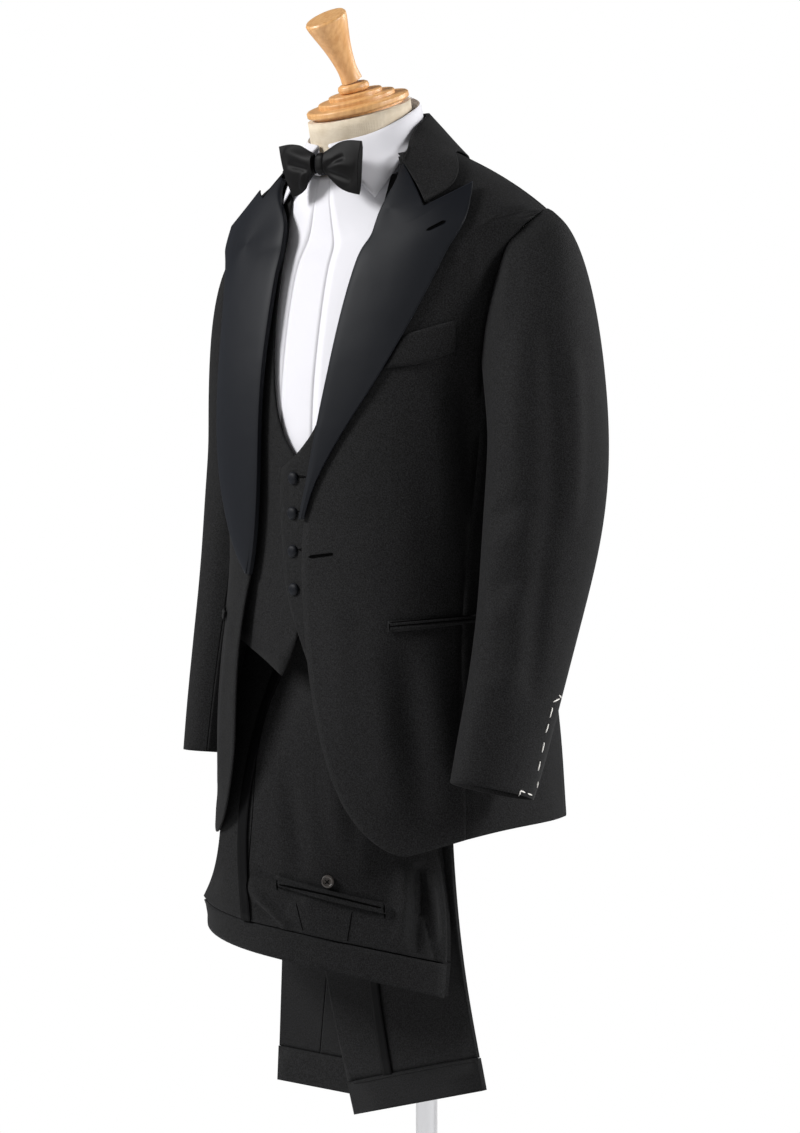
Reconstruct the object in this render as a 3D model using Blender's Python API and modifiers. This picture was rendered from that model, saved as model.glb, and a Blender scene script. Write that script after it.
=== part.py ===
"""A dinner suit on a limbless dress form: jacket, waistcoat, shirt front, bow tie and folded trousers.

The form stands on the floor at z = 0 and the suit faces -Y, so the wearer's left side is at +X.
Sizes are in metres.
"""

import math

import bpy
import numpy as np

# Cloth walls, and the space between two pieces that are sewn or laid together
WOOL = 0.0016
SATIN = 0.0013
COTTON = 0.0012
GAP = 0.0003
SEAM = 0.00045

# How far each layer lies inside the jacket's own surface
WAISTCOAT_INSET = 0.0055
SHIRT_INSET = 0.0130
FORM_INSET = 0.0190

# The jacket's body, one row for each height at the side: half its width, how far the front and the back
# reach from the middle, where the section's centre lies, how much lower the front and the back of the row
# run than its sides, and the roundness of the section, where 2 is an ellipse
BODY_COLUMNS = ("height", "half_width", "front", "back", "centre", "front_drop", "back_drop", "square")
BODY_ROWS = (
    (0.787, 0.206, 0.176, 0.158, 0.000, 0.050, 0.000, 2.25),
    (0.900, 0.200, 0.172, 0.146, 0.000, 0.012, 0.000, 2.25),
    (1.000, 0.190, 0.167, 0.122, 0.000, 0.000, 0.000, 2.30),
    (1.080, 0.180, 0.163, 0.106, 0.000, 0.000, 0.000, 2.30),
    (1.180, 0.184, 0.163, 0.114, 0.000, 0.000, 0.000, 2.35),
    (1.270, 0.190, 0.158, 0.122, 0.000, 0.000, 0.000, 2.35),
    (1.350, 0.200, 0.146, 0.120, 0.000, 0.006, 0.002, 2.30),
    (1.400, 0.210, 0.136, 0.113, 0.000, 0.016, 0.006, 2.20),
    (1.437, 0.217, 0.126, 0.102, 0.000, 0.030, 0.012, 2.10),
    (1.464, 0.180, 0.121, 0.092, -0.004, 0.033, 0.015, 2.00),
    (1.488, 0.138, 0.115, 0.078, -0.012, 0.033, 0.016, 2.00),
    (1.508, 0.098, 0.108, 0.058, -0.022, 0.030, 0.014, 2.00),
    (1.520, 0.078, 0.103, 0.040, -0.030, 0.024, 0.010, 2.00),
)
BODY = {name: np.array(column) for name, column in zip(BODY_COLUMNS, zip(*BODY_ROWS))}
SHOULDER_SLOPE_FROM, SHOULDER_SLOPE_TO = 1.40, 1.47
SHOULDER_SINK = 0.75

HEM, SHOULDER_TIP, NECK_LINE = 0.787, 1.437, 1.507

# Seams of the jacket's body, in degrees round it from the middle of the front
SIDE_SEAM = ((0.787, 64.0), (1.016, 66.0), (1.088, 70.5), (1.165, 74.0), (1.262, 73.0))
SIDE_BACK_SEAM = 116.0
SHOULDER_SEAM = 94.0

# The armhole, from the underarm up to the shoulder: its front and its back edge at each height
ARMHOLE_COLUMNS = ("height", "front_edge", "back_edge")
ARMHOLE_ROWS = (
    (1.262, 73.0, 116.0),
    (1.290, 72.0, 114.0),
    (1.330, 72.5, 111.0),
    (1.370, 73.2, 108.0),
    (1.405, 75.0, 104.0),
    (1.425, 79.0, 100.0),
    (1.437, 94.0, 94.0),
)
ARMHOLE = {name: np.array(column) for name, column in zip(ARMHOLE_COLUMNS, zip(*ARMHOLE_ROWS))}
ARMPIT, UNDERARM_SAG, SIDE_SAG_FROM = 1.262, 0.024, 1.12

# Front edges of the jacket, up the cutaway and then the roll line: a height and the degrees from the
# middle. It hangs open, and the left front lies nearer the middle.
LEFT_EDGE = (
    (0.787, 42.1), (0.800, 34.1), (0.8185, 27.0), (0.840, 20.8), (0.868, 16.0), (0.897, 12.9),
    (0.938, 9.5), (0.980, 7.3), (1.031, 5.8), (1.070, 4.8), (1.108, 5.0), (1.130, 6.8), (1.203, 10.8),
    (1.237, 13.0), (1.277, 14.9), (1.323, 16.4), (1.374, 18.4), (1.432, 21.9), (1.470, 31.9),
    (1.497, 48.9), (1.507, 53.0),
)
RIGHT_EDGE = (
    (0.787, 40.0), (0.800, 33.0), (0.8185, 28.0), (0.840, 25.0), (0.868, 22.5), (0.900, 21.2),
    (0.978, 20.4), (1.030, 18.0), (1.080, 14.5), (1.107, 12.6), (1.177, 11.6), (1.227, 11.2),
    (1.279, 10.5), (1.318, 9.8), (1.376, 9.8), (1.434, 11.0), (1.462, 15.0), (1.478, 24.0),
    (1.497, 46.0), (1.507, 53.0),
)

# Lapels: a height, the degrees of the outer edge at it, and how far the edge stands off the chest.
# Each ends in the peak, and its top edge dips to the corner of the collar's seam.
LEFT_LAPEL = (
    (1.112, 6.7, 0.0040), (1.133, 8.0, 0.0040), (1.160, 11.7, 0.0042), (1.202, 19.9, 0.0044),
    (1.238, 28.2, 0.0044), (1.280, 35.8, 0.0044), (1.332, 43.6, 0.0044), (1.384, 49.1, 0.0044),
    (1.422, 52.7, 0.0046), (1.447, 58.0, 0.0048), (1.467, 68.0, 0.0050),
)
RIGHT_LAPEL = (
    (1.050, 18.0, 0.0040), (1.064, 24.0, 0.0050), (1.083, 31.0, 0.0070), (1.120, 36.5, 0.0110),
    (1.170, 39.5, 0.0140),
    (1.238, 41.0, 0.0130), (1.280, 42.5, 0.0110), (1.332, 45.0, 0.0080), (1.384, 49.0, 0.0060),
    (1.422, 52.7, 0.0060), (1.447, 58.0, 0.0070), (1.478, 57.5, 0.0100),
)
GORGE_SHARE = 0.40
# The gorge's dip on each side: how many degrees inwards and how low
GORGE_DIPS = {"left": (13.5, 0.031), "right": (9.0, 0.012)}
# The roll of a lapel's inner edge round the front: how far across it and how high
LAPEL_ROLL = ((-0.0022, 0.0000), (-0.0018, 0.0036), (0.0026, 0.0054))
LAPEL_TOP = 1.497

# Pockets: corners as degrees round the body and heights, lower edge first
BREAST_WELT = (((34.9, 1.270), (50.7, 1.277), (60.8, 1.288)), ((40.5, 1.305), (50.0, 1.313), (59.1, 1.320)))
HIP_JETS = (((38.0, 0.995), (55.0, 1.000), (71.3, 1.005)), ((38.0, 1.005), (55.0, 1.008), (71.3, 1.011)))
JET_LIFTS = (0.0021, 0.0032, 0.0021, 0.0032, 0.0021)

# Sleeves, from the underarm to the cuff: the height of each section's middle, where that middle is,
# half the section's width and half its depth. The left arm hangs a little further forward.
SLEEVE_COLUMNS = ("height", "across", "ahead", "half_width", "half_depth")
LEFT_SLEEVE = (
    (1.255, 0.2430, -0.020, 0.053, 0.070),
    (1.191, 0.2450, -0.019, 0.055, 0.073),
    (1.125, 0.2430, -0.022, 0.054, 0.074),
    (1.072, 0.2400, -0.029, 0.050, 0.070),
    (1.011, 0.2380, -0.042, 0.045, 0.062),
    (0.934, 0.2380, -0.065, 0.040, 0.055),
    (0.880, 0.2370, -0.082, 0.038, 0.052),
    (0.834, 0.2360, -0.097, 0.036, 0.050),
)
RIGHT_SLEEVE = (
    (1.255, 0.2430, 0.028, 0.053, 0.070),
    (1.191, 0.2450, 0.034, 0.055, 0.073),
    (1.125, 0.2430, 0.025, 0.054, 0.072),
    (1.072, 0.2410, 0.013, 0.050, 0.067),
    (1.011, 0.2410, -0.002, 0.045, 0.060),
    (0.934, 0.2420, -0.021, 0.040, 0.053),
    (0.880, 0.2430, -0.030, 0.038, 0.051),
    (0.834, 0.2430, -0.038, 0.036, 0.049),
)
SLEEVE_BACK_SEAM, SLEEVE_FRONT_SEAM = -62.0, 125.0
SLEEVE_FULLNESS, SLEEVE_LIFT, SLEEVE_RADIUS = 0.13, 0.0021, 0.055
SLEEVE_HEIGHTS = (1.191, 1.150, 1.105, 1.060, 1.011, 0.960, 0.915, 0.875, 0.834)
HEAD_SHARES = (0.0, 0.12, 0.27, 0.44, 0.62, 0.81)
# How a sleeve's head leaves the armhole: outwards, forwards and down, and how steeply it comes down
HEAD_OUT, HEAD_AHEAD, HEAD_UNDER, HEAD_LEAST, HEAD_DROP = (0.65, 0.35), 0.60, 0.70, 0.03, (0.05, 0.16)
LEAN_FROM, LEAN_TO = 1.12, 1.19
# How much more the cuff slopes down to the back of the arm, and where that starts
CUFF_SLOPE, CUFF_FROM, CUFF_TO = 0.10, 0.834, 0.960
CUFF_SHARE = {"left": 1.0, "right": 0.0}
COLLAR_LIFT = 0.0034

# Jacket collar. Its rows, from the outer edge to the fold: how far across, how much the row swells, and
# where it ends in front, as degrees round the body, a height and a lift
COLLAR_END = (
    (0.0, 0.000, 58.0, 1.4668, 0.0048),
    (0.36, 0.001, 44.8, 1.4585, 0.0050),
    (0.72, 0.0015, 48.0, 1.4790, 0.0054),
    (1.0, 0.000, 51.2, 1.4995, 0.0056),
)
# its outer edge, as degrees round the body and a height
COLLAR_OUTER = (
    (58.0, 1.4640), (70.0, 1.480), (84.0, 1.498), (110.0, 1.503), (140.0, 1.5035), (180.0, 1.5035),
)
# and its fold: degrees round the neck, the distance from the neck's middle and the height
NECK_MIDDLE = -0.046
COLLAR_FOLD = (
    (66.0, 0.0990, 1.4885), (78.0, 0.0830, 1.509), (95.0, 0.0745, 1.530), (125.0, 0.0730, 1.548),
    (180.0, 0.0730, 1.556),
)

# How the collar's stand clears the neck seam, and how its front end is drawn in and raised
STAND_CLEAR, PULL_SHARE, RISE_SHARE = 0.0004, 0.30, 0.25
STAND_RISE, FOLD_IN, FOLD_RISE, FOLD_SINK = 0.0040, 0.0030, 0.0030, 0.0010
STAND_HOLLOW, STAND_SWELL = 0.0015, 0.0020

# Waistcoat: its neck and front edge, right and left, the armhole, and the lower edge with its points
WAISTCOAT_RIGHT = (
    (0.985, -3.5), (1.100, -3.5), (1.165, -3.0), (1.180, -0.5), (1.191, 1.6), (1.210, 4.4), (1.240, 7.0),
    (1.284, 8.6), (1.334, 9.3), (1.376, 9.6), (1.414, 11.0), (1.465, 17.0), (1.489, 28.0), (1.505, 40.0),
)
WAISTCOAT_LEFT = (
    (0.985, 4.5), (1.0195, -0.4), (1.050, -2.0), (1.110, -2.6), (1.168, -1.9), (1.177, 1.2), (1.192, 5.2),
    (1.205, 8.6), (1.240, 12.0), (1.284, 15.0), (1.350, 17.5), (1.420, 21.0), (1.465, 28.0),
    (1.489, 38.0), (1.505, 48.0),
)
# Where the waistcoat's front and back end at each height: the side seam, the armhole, the shoulder seam
WAISTCOAT_SIDE = (
    (0.985, 90.0, 90.0), (1.210, 90.0, 90.0), (1.240, 86.0, 95.0), (1.280, 73.0, 107.0),
    (1.330, 62.0, 115.0), (1.380, 59.0, 118.0), (1.420, 61.0, 116.0), (1.450, 71.0, 108.0),
    (1.475, 90.0, 92.0), (1.498, 92.0, 92.0),
)
WAISTCOAT_HEIGHTS = (
    0.985, 1.030, 1.080, 1.130, 1.165, 1.178, 1.190, 1.210, 1.240, 1.280, 1.330, 1.380, 1.420, 1.450,
    1.475, 1.498,
)
WAISTCOAT_SHARES = (0.0, 0.058, 0.14, 0.30, 0.47, 0.64, 0.82, 1.0)
UNDER_INSET, SHOULDER_INSET = 0.0076, 0.0028
# Its lower edge, as degrees round the body and a height
RIGHT_POINT = ((-10.0, 0.990), (-3.5, 0.987), (1.8, 0.947), (15.0, 0.973), (40.0, 0.984), (90.0, 0.990))
LEFT_POINT = ((-3.0, 0.995), (4.5, 0.983), (9.5, 0.947), (24.0, 0.973), (45.0, 0.984), (90.0, 0.990))
WAISTCOAT_BUTTONS = ((1.1548, 0.0060), (1.1174, 0.0045), (1.0768, 0.0050), (1.0361, 0.0085))
BUTTON_PROFILE = (
    (0.0, 0.0040), (0.0030, 0.0038), (0.0052, 0.0029), (0.0061, 0.0014), (0.0056, 0.0), (0.0, 0.0),
)

# Shirt: half of its placket in degrees, and where its front and back end at each height
PLACKET_HALF = 5.6
SHIRT_SIDE = (
    (1.000, 92.0, 92.0), (1.225, 92.0, 92.0), (1.245, 84.0, 104.0), (1.275, 75.0, 112.0),
    (1.330, 72.5, 111.0), (1.380, 74.0, 107.0), (1.410, 76.0, 103.0), (1.437, 93.0, 95.0),
    (1.515, 94.0, 94.0),
)
SHIRT_HEIGHTS = (
    1.000, 1.070, 1.150, 1.225, 1.245, 1.275, 1.330, 1.380, 1.410, 1.437, 1.460, 1.485, 1.500, 1.515,
)
NECK_FORWARD = 0.013
# Its collar: the fold, then the leaf's edge, as degrees round the neck, a distance and a height
SHIRT_FOLD = ((8.0, 0.0605, 1.512), (50.0, 0.0605, 1.521), (100.0, 0.0605, 1.548), (180.0, 0.0605, 1.577))
SHIRT_LEAF = (
    (49.6, 0.0965, 1.456), (62.0, 0.0900, 1.476), (85.0, 0.0750, 1.503), (110.0, 0.0675, 1.519),
    (140.0, 0.0650, 1.529), (180.0, 0.0645, 1.534),
)
LEAF_LIFT = 0.0027

# Bow tie: along each wing, half its height and half its thickness, then where its two layers lie
WING = (
    (0.0, 0.0118, 0.0050), (0.15, 0.0165, 0.0056), (0.38, 0.0238, 0.0060), (0.68, 0.0280, 0.0052),
    (1.0, 0.0288, 0.0034),
)
WING_FOLDS, WING_FOLD_DEPTH = 3, 0.22
# Each wing's reach from the knot, how far forward it lies, its fullness, how far its end rises, leans and
# lies back
BOW_WINGS = (
    ("bow_wing_left", 0.0440, -0.1290, 1.0, -0.008, 0.002, 0.008),
    ("bow_wing_right", 0.0475, -0.1290, 1.0, -0.005, 0.011, 0.005),
    ("bow_back_wing_left", 0.0390, -0.1172, 0.50, 0.001, 0.004, 0.001),
    ("bow_back_wing_right", 0.0430, -0.1172, 0.50, 0.002, 0.004, 0.001),
)
# The bow's height, how far it has slipped to the wearer's left, and where its wings start beside the knot
BOW_HEIGHT, BOW_SLIP, WING_START = 1.4905, 0.0140, 0.0092
KNOT_HALF = (0.0085, 0.0120, 0.0124)
KNOT_AHEAD, KNOT_ENDS, KNOT_SQUARE = -0.1206, 0.96, 0.7
BAND_FAR, BAND_DEGREES, BAND_HALF = 0.0613, 7.0, 0.008
# Where the slipped bow lies round the neck, and how far back that brings it
BOW_TURN = math.asin(BOW_SLIP / BAND_FAR)
BOW_BACK = BAND_FAR * (1 - math.cos(BOW_TURN))

FLAT_BUTTON = (
    (0.0, 0.0018), (0.0042, 0.0018), (0.0046, 0.0024), (0.0058, 0.0022), (0.0062, 0.0012), (0.0054, 0.0),
    (0.0, 0.0),
)

# Dress form: rings of its neck as a distance behind the middle, a height and a radius
FORM_HEIGHTS = (1.100, 1.180, 1.270, 1.350, 1.400, 1.437, 1.464, 1.488)
NECK_RINGS = ((-0.0410, 1.487, 0.0585), (-0.0450, 1.515, 0.0570), (-0.0530, 1.5540, 0.0565))
NECK_TILT = math.radians(19)
DISCS = (
    (0.0, 0.0205), (0.0290, 0.0205), (0.0300, 0.0196), (0.0300, 0.0162), (0.0418, 0.0155),
    (0.0428, 0.0146), (0.0428, 0.0108), (0.0560, 0.0100), (0.0572, 0.0088), (0.0572, 0.0042),
    (0.0560, 0.0032), (0.0500, 0.0032), (0.0500, 0.0), (0.0, 0.0),
)
KNOB_RING = (
    (0.0, 0.0095), (0.0140, 0.0095), (0.0168, 0.0080), (0.0178, 0.0048), (0.0168, 0.0015),
    (0.0140, 0.0), (0.0, 0.0),
)
HANDLE = (
    (0.0, 0.0750), (0.0222, 0.0750), (0.0237, 0.0730), (0.0233, 0.0680), (0.0190, 0.0540),
    (0.0145, 0.0380), (0.0115, 0.0210), (0.0106, 0.0090), (0.0118, 0.0015), (0.0118, 0.0), (0.0, 0.0),
)
DISC_CLEAR = 0.0004
RING_AT, RING_TILT = (0.0, -0.0600, 1.5740), math.radians(20)
HANDLE_AT, HANDLE_TILT = (0.0, -0.0643, 1.5861), math.radians(33)
BASE = ((0.0, 0.0120), (0.1940, 0.0120), (0.2000, 0.0080), (0.2000, 0.0015), (0.1985, 0.0), (0.0, 0.0))
POLE_RADIUS, POLE_BEHIND = 0.0125, 0.055
BAR_RADIUS = 0.0075
BAR = ((0.0128, 0.055), (0.100, 0.055), (0.122, 0.048), (0.140, 0.030), (0.148, 0.008), (0.150, -0.032),
       (0.146, -0.044), (0.136, -0.050), (-0.145, -0.050))
BAR_HEIGHT = 1.0367

# Trousers, folded over the bar with the waist hanging in front: a distance along the side seam from the
# waist, the seam's x, y and z there, and the lean of the leg in degrees. The left leg lies inside the
# right one.
RIGHT_PATH = (
    (-0.050, -0.070, -0.1525, 0.585, 0.0),
    (0.000, -0.074, -0.1500, 0.635, 0.0),
    (0.155, -0.091, -0.1400, 0.790, 0.0),
    (0.309, -0.070, -0.1080, 0.940, 0.0),
    (0.418, -0.034, -0.0760, 1.035, 0.0),
    (0.432, -0.031, -0.0720, 1.049, 0.0),
    (0.446, -0.028, -0.0630, 1.058, 0.0),
    (0.459, -0.025, -0.0500, 1.061, 0.0),
    (0.473, -0.025, -0.0370, 1.058, 0.0),
    (0.487, -0.025, -0.0280, 1.049, 0.0),
    (0.501, -0.026, -0.0240, 1.035, 0.0),
    (0.640, -0.050, 0.0060, 0.895, -2.0),
    (0.800, -0.078, 0.0170, 0.730, -2.0),
    (1.045, -0.101, 0.0180, 0.446, 1.6),
)
LEFT_PATH = (
    (-0.050, -0.070, -0.1460, 0.585, 0.0),
    (0.000, -0.074, -0.1435, 0.635, 0.0),
    (0.155, -0.091, -0.1335, 0.790, 0.0),
    (0.309, -0.070, -0.1015, 0.940, 0.0),
    (0.411, -0.030, -0.0650, 1.035, 0.0),
    (0.420, -0.028, -0.0625, 1.043, 0.0),
    (0.428, -0.026, -0.0570, 1.048, 0.0),
    (0.435, -0.024, -0.0500, 1.050, 0.0),
    (0.442, -0.022, -0.0430, 1.048, 0.0),
    (0.450, -0.020, -0.0375, 1.043, 0.0),
    (0.459, -0.018, -0.0350, 1.035, 0.0),
    (0.600, -0.016, -0.0230, 0.890, 4.0),
    (0.780, -0.018, -0.0030, 0.715, 9.0),
    (0.920, 0.004, -0.0010, 0.585, 15.0),
    (1.045, 0.041, -0.0010, 0.460, 17.0),
)
# The folded outline at a distance along: where the front edge, the back edge and the side seam lie
OUTLINE = (
    (-0.050, -0.190, 0.226, 0.0),
    (0.000, -0.180, 0.228, 0.0),
    (0.030, -0.130, 0.232, 0.0),
    (0.060, -0.074, 0.236, 0.0),
    (0.100, -0.047, 0.234, 0.0),
    (0.200, -0.047, 0.205, 0.0),
    (0.309, -0.062, 0.160, 0.0),
    (0.370, -0.080, 0.145, -0.002),
    (0.435, -0.100, 0.135, -0.004),
    (0.600, -0.110, 0.122, -0.012),
    (1.045, -0.1025, 0.1025, -0.037),
)
WAIST_BEND, INNER_STEP, BEND_FROM, BEND_TO = 0.180, 0.0065, 0.10, 0.36
BACK_RISE, FRONT_DIP = 0.045, 0.018
BAND_DEPTH, TURN_UP, TROUSER_LENGTH = 0.032, 0.034, 1.045
LAYERS, TURN_UP_LAYERS, BAND_LAYERS = 0.0048, 0.0076, 0.0056
STRIPE_HALF, TROUSER_SEAM = 0.0068, 0.0012
STRIPE_CLEAR = {"right": 0.0002, "left": 0.0011}
FRONT_ROWS = (0.070, 0.110, 0.155, 0.210, 0.260, 0.309, 0.365)
RIGHT_FOLD = (0.405, 0.420, 0.432, 0.446, 0.459, 0.473, 0.487, 0.501)
LEFT_FOLD = (0.411, 0.420, 0.428, 0.435, 0.442, 0.450, 0.459, 0.501)
BACK_ROWS = (0.560, 0.640, 0.740, 0.850, 0.940)
FRONT_SHARES = (0.0, 1 / 3, 2 / 3, 1.0)
BACK_SHARES = (1.0, 1.2, 1.4, 1.6, 1.8, 2.0)
BACK_POCKET = ((0.048, 0.081), (0.165, 0.054))
BACK_POCKET_HALF = 0.0050
BACK_BUTTON, BUTTON_SEAT = (0.106, 0.0825), -0.0002


def smooth(knots, values, at):
    """A curve through the knots: a cubic between each two, with a knot's slope taken from its neighbours."""
    knots = np.asarray(knots, float)
    values = np.asarray(values, float)
    at = np.asarray(at, float)
    slopes = np.gradient(values, knots, axis=0)
    left = np.clip(np.searchsorted(knots, at) - 1, 0, len(knots) - 2)
    span = knots[left + 1] - knots[left]
    t = np.clip((at - knots[left]) / span, 0, 1)
    if values.ndim > 1:
        t = t[..., None]
        span = span[..., None]
    rise = (2 * t**3 - 3 * t**2 + 1) * values[left] + (3 * t**2 - 2 * t**3) * values[left + 1]
    return rise + span * ((t**3 - 2 * t**2 + t) * slopes[left] + (t**3 - t**2) * slopes[left + 1])


def ease(low, high, at):
    """0 below low, 1 above high and a soft step between."""
    t = np.clip((np.asarray(at, float) - low) / (high - low), 0, 1)
    return t * t * (3 - 2 * t)


def body(angle, height, inset=0.0):
    """A point of the suit's body: a rounded section whose ends are the sides, sunk evenly by the inset."""
    angle, height = np.broadcast_arrays(np.asarray(angle, float), np.asarray(height, float))
    row = {name: smooth(BODY["height"], BODY[name], height) for name in BODY_COLUMNS[1:]}
    power = 2 / row["square"]
    sine, cosine = np.sin(angle), np.cos(angle)
    across = np.sign(sine) * np.abs(sine) ** power
    along = np.abs(cosine) ** power
    ahead = row["front"] - inset + row["centre"]
    behind = row["back"] - inset - row["centre"]
    x = (row["half_width"] - inset) * across
    y = row["centre"] + np.where(cosine > 0, -ahead, behind) * along
    drop = np.where(cosine > 0, row["front_drop"], row["back_drop"]) * cosine**2
    sunk = inset * SHOULDER_SINK * ease(SHOULDER_SLOPE_FROM, SHOULDER_SLOPE_TO, height)
    return np.stack([x, y, height - drop - sunk], axis=-1)


def outward(angle, height, inset=0.0):
    """The body's outward direction, from the cross product of its two tangents."""
    step = 1e-4
    around = body(angle + step, height, inset) - body(angle - step, height, inset)
    up = body(angle, height + step, inset) - body(angle, height - step, inset)
    normal = np.cross(around, up)
    return normal / np.linalg.norm(normal, axis=-1, keepdims=True)


def raised(angle, height, lift, inset=0.0):
    """A point at a height above the body's surface."""
    lift = np.asarray(lift, float)[..., None] if np.ndim(lift) else lift
    return body(angle, height, inset) + lift * outward(angle, height, inset)


def clear_of_body(points, lift, inset=0.0, held=0.0):
    """The points, with any less than the lift above the body moved out to it, and any above it drawn in as
    far as they are held."""
    angle = np.radians(np.linspace(0, 180, 181))[None, :]
    height = steps(HEM, NECK_LINE, 245)
    surface = body(angle, height, inset).reshape(-1, 3)
    normals = outward(angle, height, inset).reshape(-1, 3)
    side = np.where(points[..., :1] < 0, -1.0, 1.0) * [1.0, 0.0, 0.0] + [0.0, 1.0, 1.0]
    folded = points * side
    nearest = np.argmin(((folded[..., None, :] - surface) ** 2).sum(-1), axis=-1)
    above = ((folded - surface[nearest]) * normals[nearest]).sum(-1, keepdims=True)
    move = np.maximum(0, lift - above) + np.minimum(0, lift - above) * held
    return (folded + move * normals[nearest]) * side


def mirrored(points):
    """The same points on the wearer's right."""
    return points * np.array([-1.0, 1.0, 1.0])


def finish(name, colour, roughness, metallic=0.0):
    """A plain finish of one colour."""
    made = bpy.data.materials.new(name)
    made.use_nodes = True
    shader = made.node_tree.nodes["Principled BSDF"]
    shader.inputs["Base Color"].default_value = (*colour, 1.0)
    shader.inputs["Roughness"].default_value = roughness
    shader.inputs["Metallic"].default_value = metallic
    return made


def place(name, mesh, look):
    """Adds the mesh to the suit's collection as a named piece."""
    piece = bpy.data.objects.new(name, mesh)
    piece.data.materials.append(look)
    SUIT.objects.link(piece)
    return piece


def grid_mesh(name, points, ring=False):
    """A mesh of quads over a grid of points, closed round its columns for a ring."""
    rows, columns = points.shape[:2]
    index = np.arange(rows * columns).reshape(rows, columns)
    if ring:
        index = np.hstack([index, index[:, :1]])
    quads = np.stack([index[:-1, :-1], index[:-1, 1:], index[1:, 1:], index[1:, :-1]], axis=-1)
    mesh = bpy.data.meshes.new(name)
    mesh.from_pydata(points.reshape(-1, 3).tolist(), [], quads.reshape(-1, 4).tolist())
    mesh.update()
    mesh.shade_smooth()
    return mesh


def cloth(name, points, wall, look, ring=False):
    """A cloth piece: the grid of points is the middle of its wall."""
    piece = place(name, grid_mesh(name, points, ring), look)
    wall_maker = piece.modifiers.new("wall", "SOLIDIFY")
    wall_maker.thickness = wall
    wall_maker.offset = 0
    return piece


def solid_loft(name, rings, look):
    """A closed solid through rings of points, with a flat face at each end."""
    mesh = grid_mesh(name, rings, ring=True)
    rows, columns = rings.shape[:2]
    points = rings.reshape(-1, 3).tolist()
    faces = [list(face.vertices)[::-1] for face in mesh.polygons]
    faces.append(list(range(columns)))
    faces.append(list(range(rows * columns - 1, (rows - 1) * columns - 1, -1)))
    bpy.data.meshes.remove(mesh)
    mesh = bpy.data.meshes.new(name)
    mesh.from_pydata(points, [], faces)
    mesh.update()
    return place(name, mesh, look)


def turned(name, profile, steps, look, place_at=(0, 0, 0), lean=0.0):
    """A turned piece: a profile of (radius, height) pairs from the top down, spun round its axis."""
    mesh = bpy.data.meshes.new(name)
    points = [(radius, 0, height) for radius, height in profile]
    mesh.from_pydata(points, [(i, i + 1) for i in range(len(points) - 1)], [])
    piece = place(name, mesh, look)
    spin = piece.modifiers.new("spin", "SCREW")
    spin.steps = spin.render_steps = steps
    spin.use_merge_vertices = True
    spin.merge_threshold = 0.00001
    piece.location = place_at
    piece.rotation_euler = (lean, 0, 0)
    return piece


def rod(name, route, radius, look, sides=3):
    """A rod along a route, with closed ends."""
    curve = bpy.data.curves.new(name, "CURVE")
    curve.dimensions = "3D"
    curve.bevel_depth = radius
    curve.bevel_resolution = sides
    curve.use_fill_caps = True
    line = curve.splines.new("POLY")
    line.points.add(len(route) - 1)
    for point, place_at in zip(line.points, route):
        point.co = (*place_at, 1.0)
    piece = bpy.data.objects.new(name, curve)
    curve.materials.append(look)
    SUIT.objects.link(piece)
    return piece


def steps(low, high, count):
    """Evenly spaced numbers from low to high as a column, to stand against a row of columns."""
    return np.linspace(low, high, count)[:, None]


# Jacket


def along(table, at, column=1):
    """A column of a table at heights between its rows."""
    table = np.array(table)
    return smooth(table[:, 0], table[:, column], at)


def outer_seam(height):
    """Where a front panel ends: at the side seam, then the armhole, then the shoulder seam."""
    armhole = np.interp(height, ARMHOLE["height"], ARMHOLE["front_edge"])
    side = along(SIDE_SEAM, height)
    above = np.where(height > SHOULDER_TIP, SHOULDER_SEAM, armhole)
    return np.radians(np.where(height < ARMPIT, side, above))


def back_seam(height):
    """Where a back panel ends, coming round from the middle of the back."""
    armhole = np.interp(height, ARMHOLE["height"], ARMHOLE["back_edge"])
    above = np.where(height > SHOULDER_TIP, SHOULDER_SEAM, armhole)
    return np.radians(np.where(height < ARMPIT, SIDE_BACK_SEAM, above))


def seam_angle(angle, height):
    """The angle round the body that half the seam's space takes up there."""
    step = 1e-3
    around = body(angle + step, height) - body(angle - step, height)
    return 0.5 * SEAM * 2 * step / np.linalg.norm(around, axis=-1)


HEIGHTS = np.array(
    [0.787, 0.798, 0.815, 0.840, 0.880, 0.940, 1.010, 1.080, 1.150, 1.210, 1.262, 1.300, 1.345,
     1.385, 1.412, 1.428, 1.437, 1.460, 1.478, 1.488, 1.497, 1.507]
)[:, None]


def front_points(edge):
    """A front of the jacket, from its edge or roll line to the side seam."""
    start = np.radians(along(edge, HEIGHTS))
    end = outer_seam(HEIGHTS)
    end = end - seam_angle(end, HEIGHTS)
    share = np.linspace(0, 1, 7)[None, :]
    return body(start + (end - start) * share, HEIGHTS)


def back_points():
    """A back of the jacket, from the side seam to the seam at its middle."""
    start = back_seam(HEIGHTS)
    start = start + seam_angle(start, HEIGHTS)
    end = math.pi - seam_angle(math.pi, HEIGHTS)
    share = np.linspace(0, 1, 6)[None, :]
    return body(start + (end - start) * share, HEIGHTS)


def side_points():
    """The panel under the arm, whose top edge is the bottom of the armhole."""
    share = np.linspace(0, 1, 5)[None, :]
    low = HEIGHTS[HEIGHTS[:, 0] <= ARMPIT]
    sag = UNDERARM_SAG * np.sin(math.pi * share)
    heights = low - sag * ease(SIDE_SAG_FROM, ARMPIT, low)
    start = np.radians(along(SIDE_SEAM, heights))
    start = start + seam_angle(start, heights)
    end = math.radians(SIDE_BACK_SEAM)
    end = end - seam_angle(end, heights)
    return body(start + (end - start) * share, heights)


def turn_of(distance, angle, height):
    """The angle round the body that a short distance along it takes up there."""
    return 2 * distance / SEAM * seam_angle(angle, height)


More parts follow.
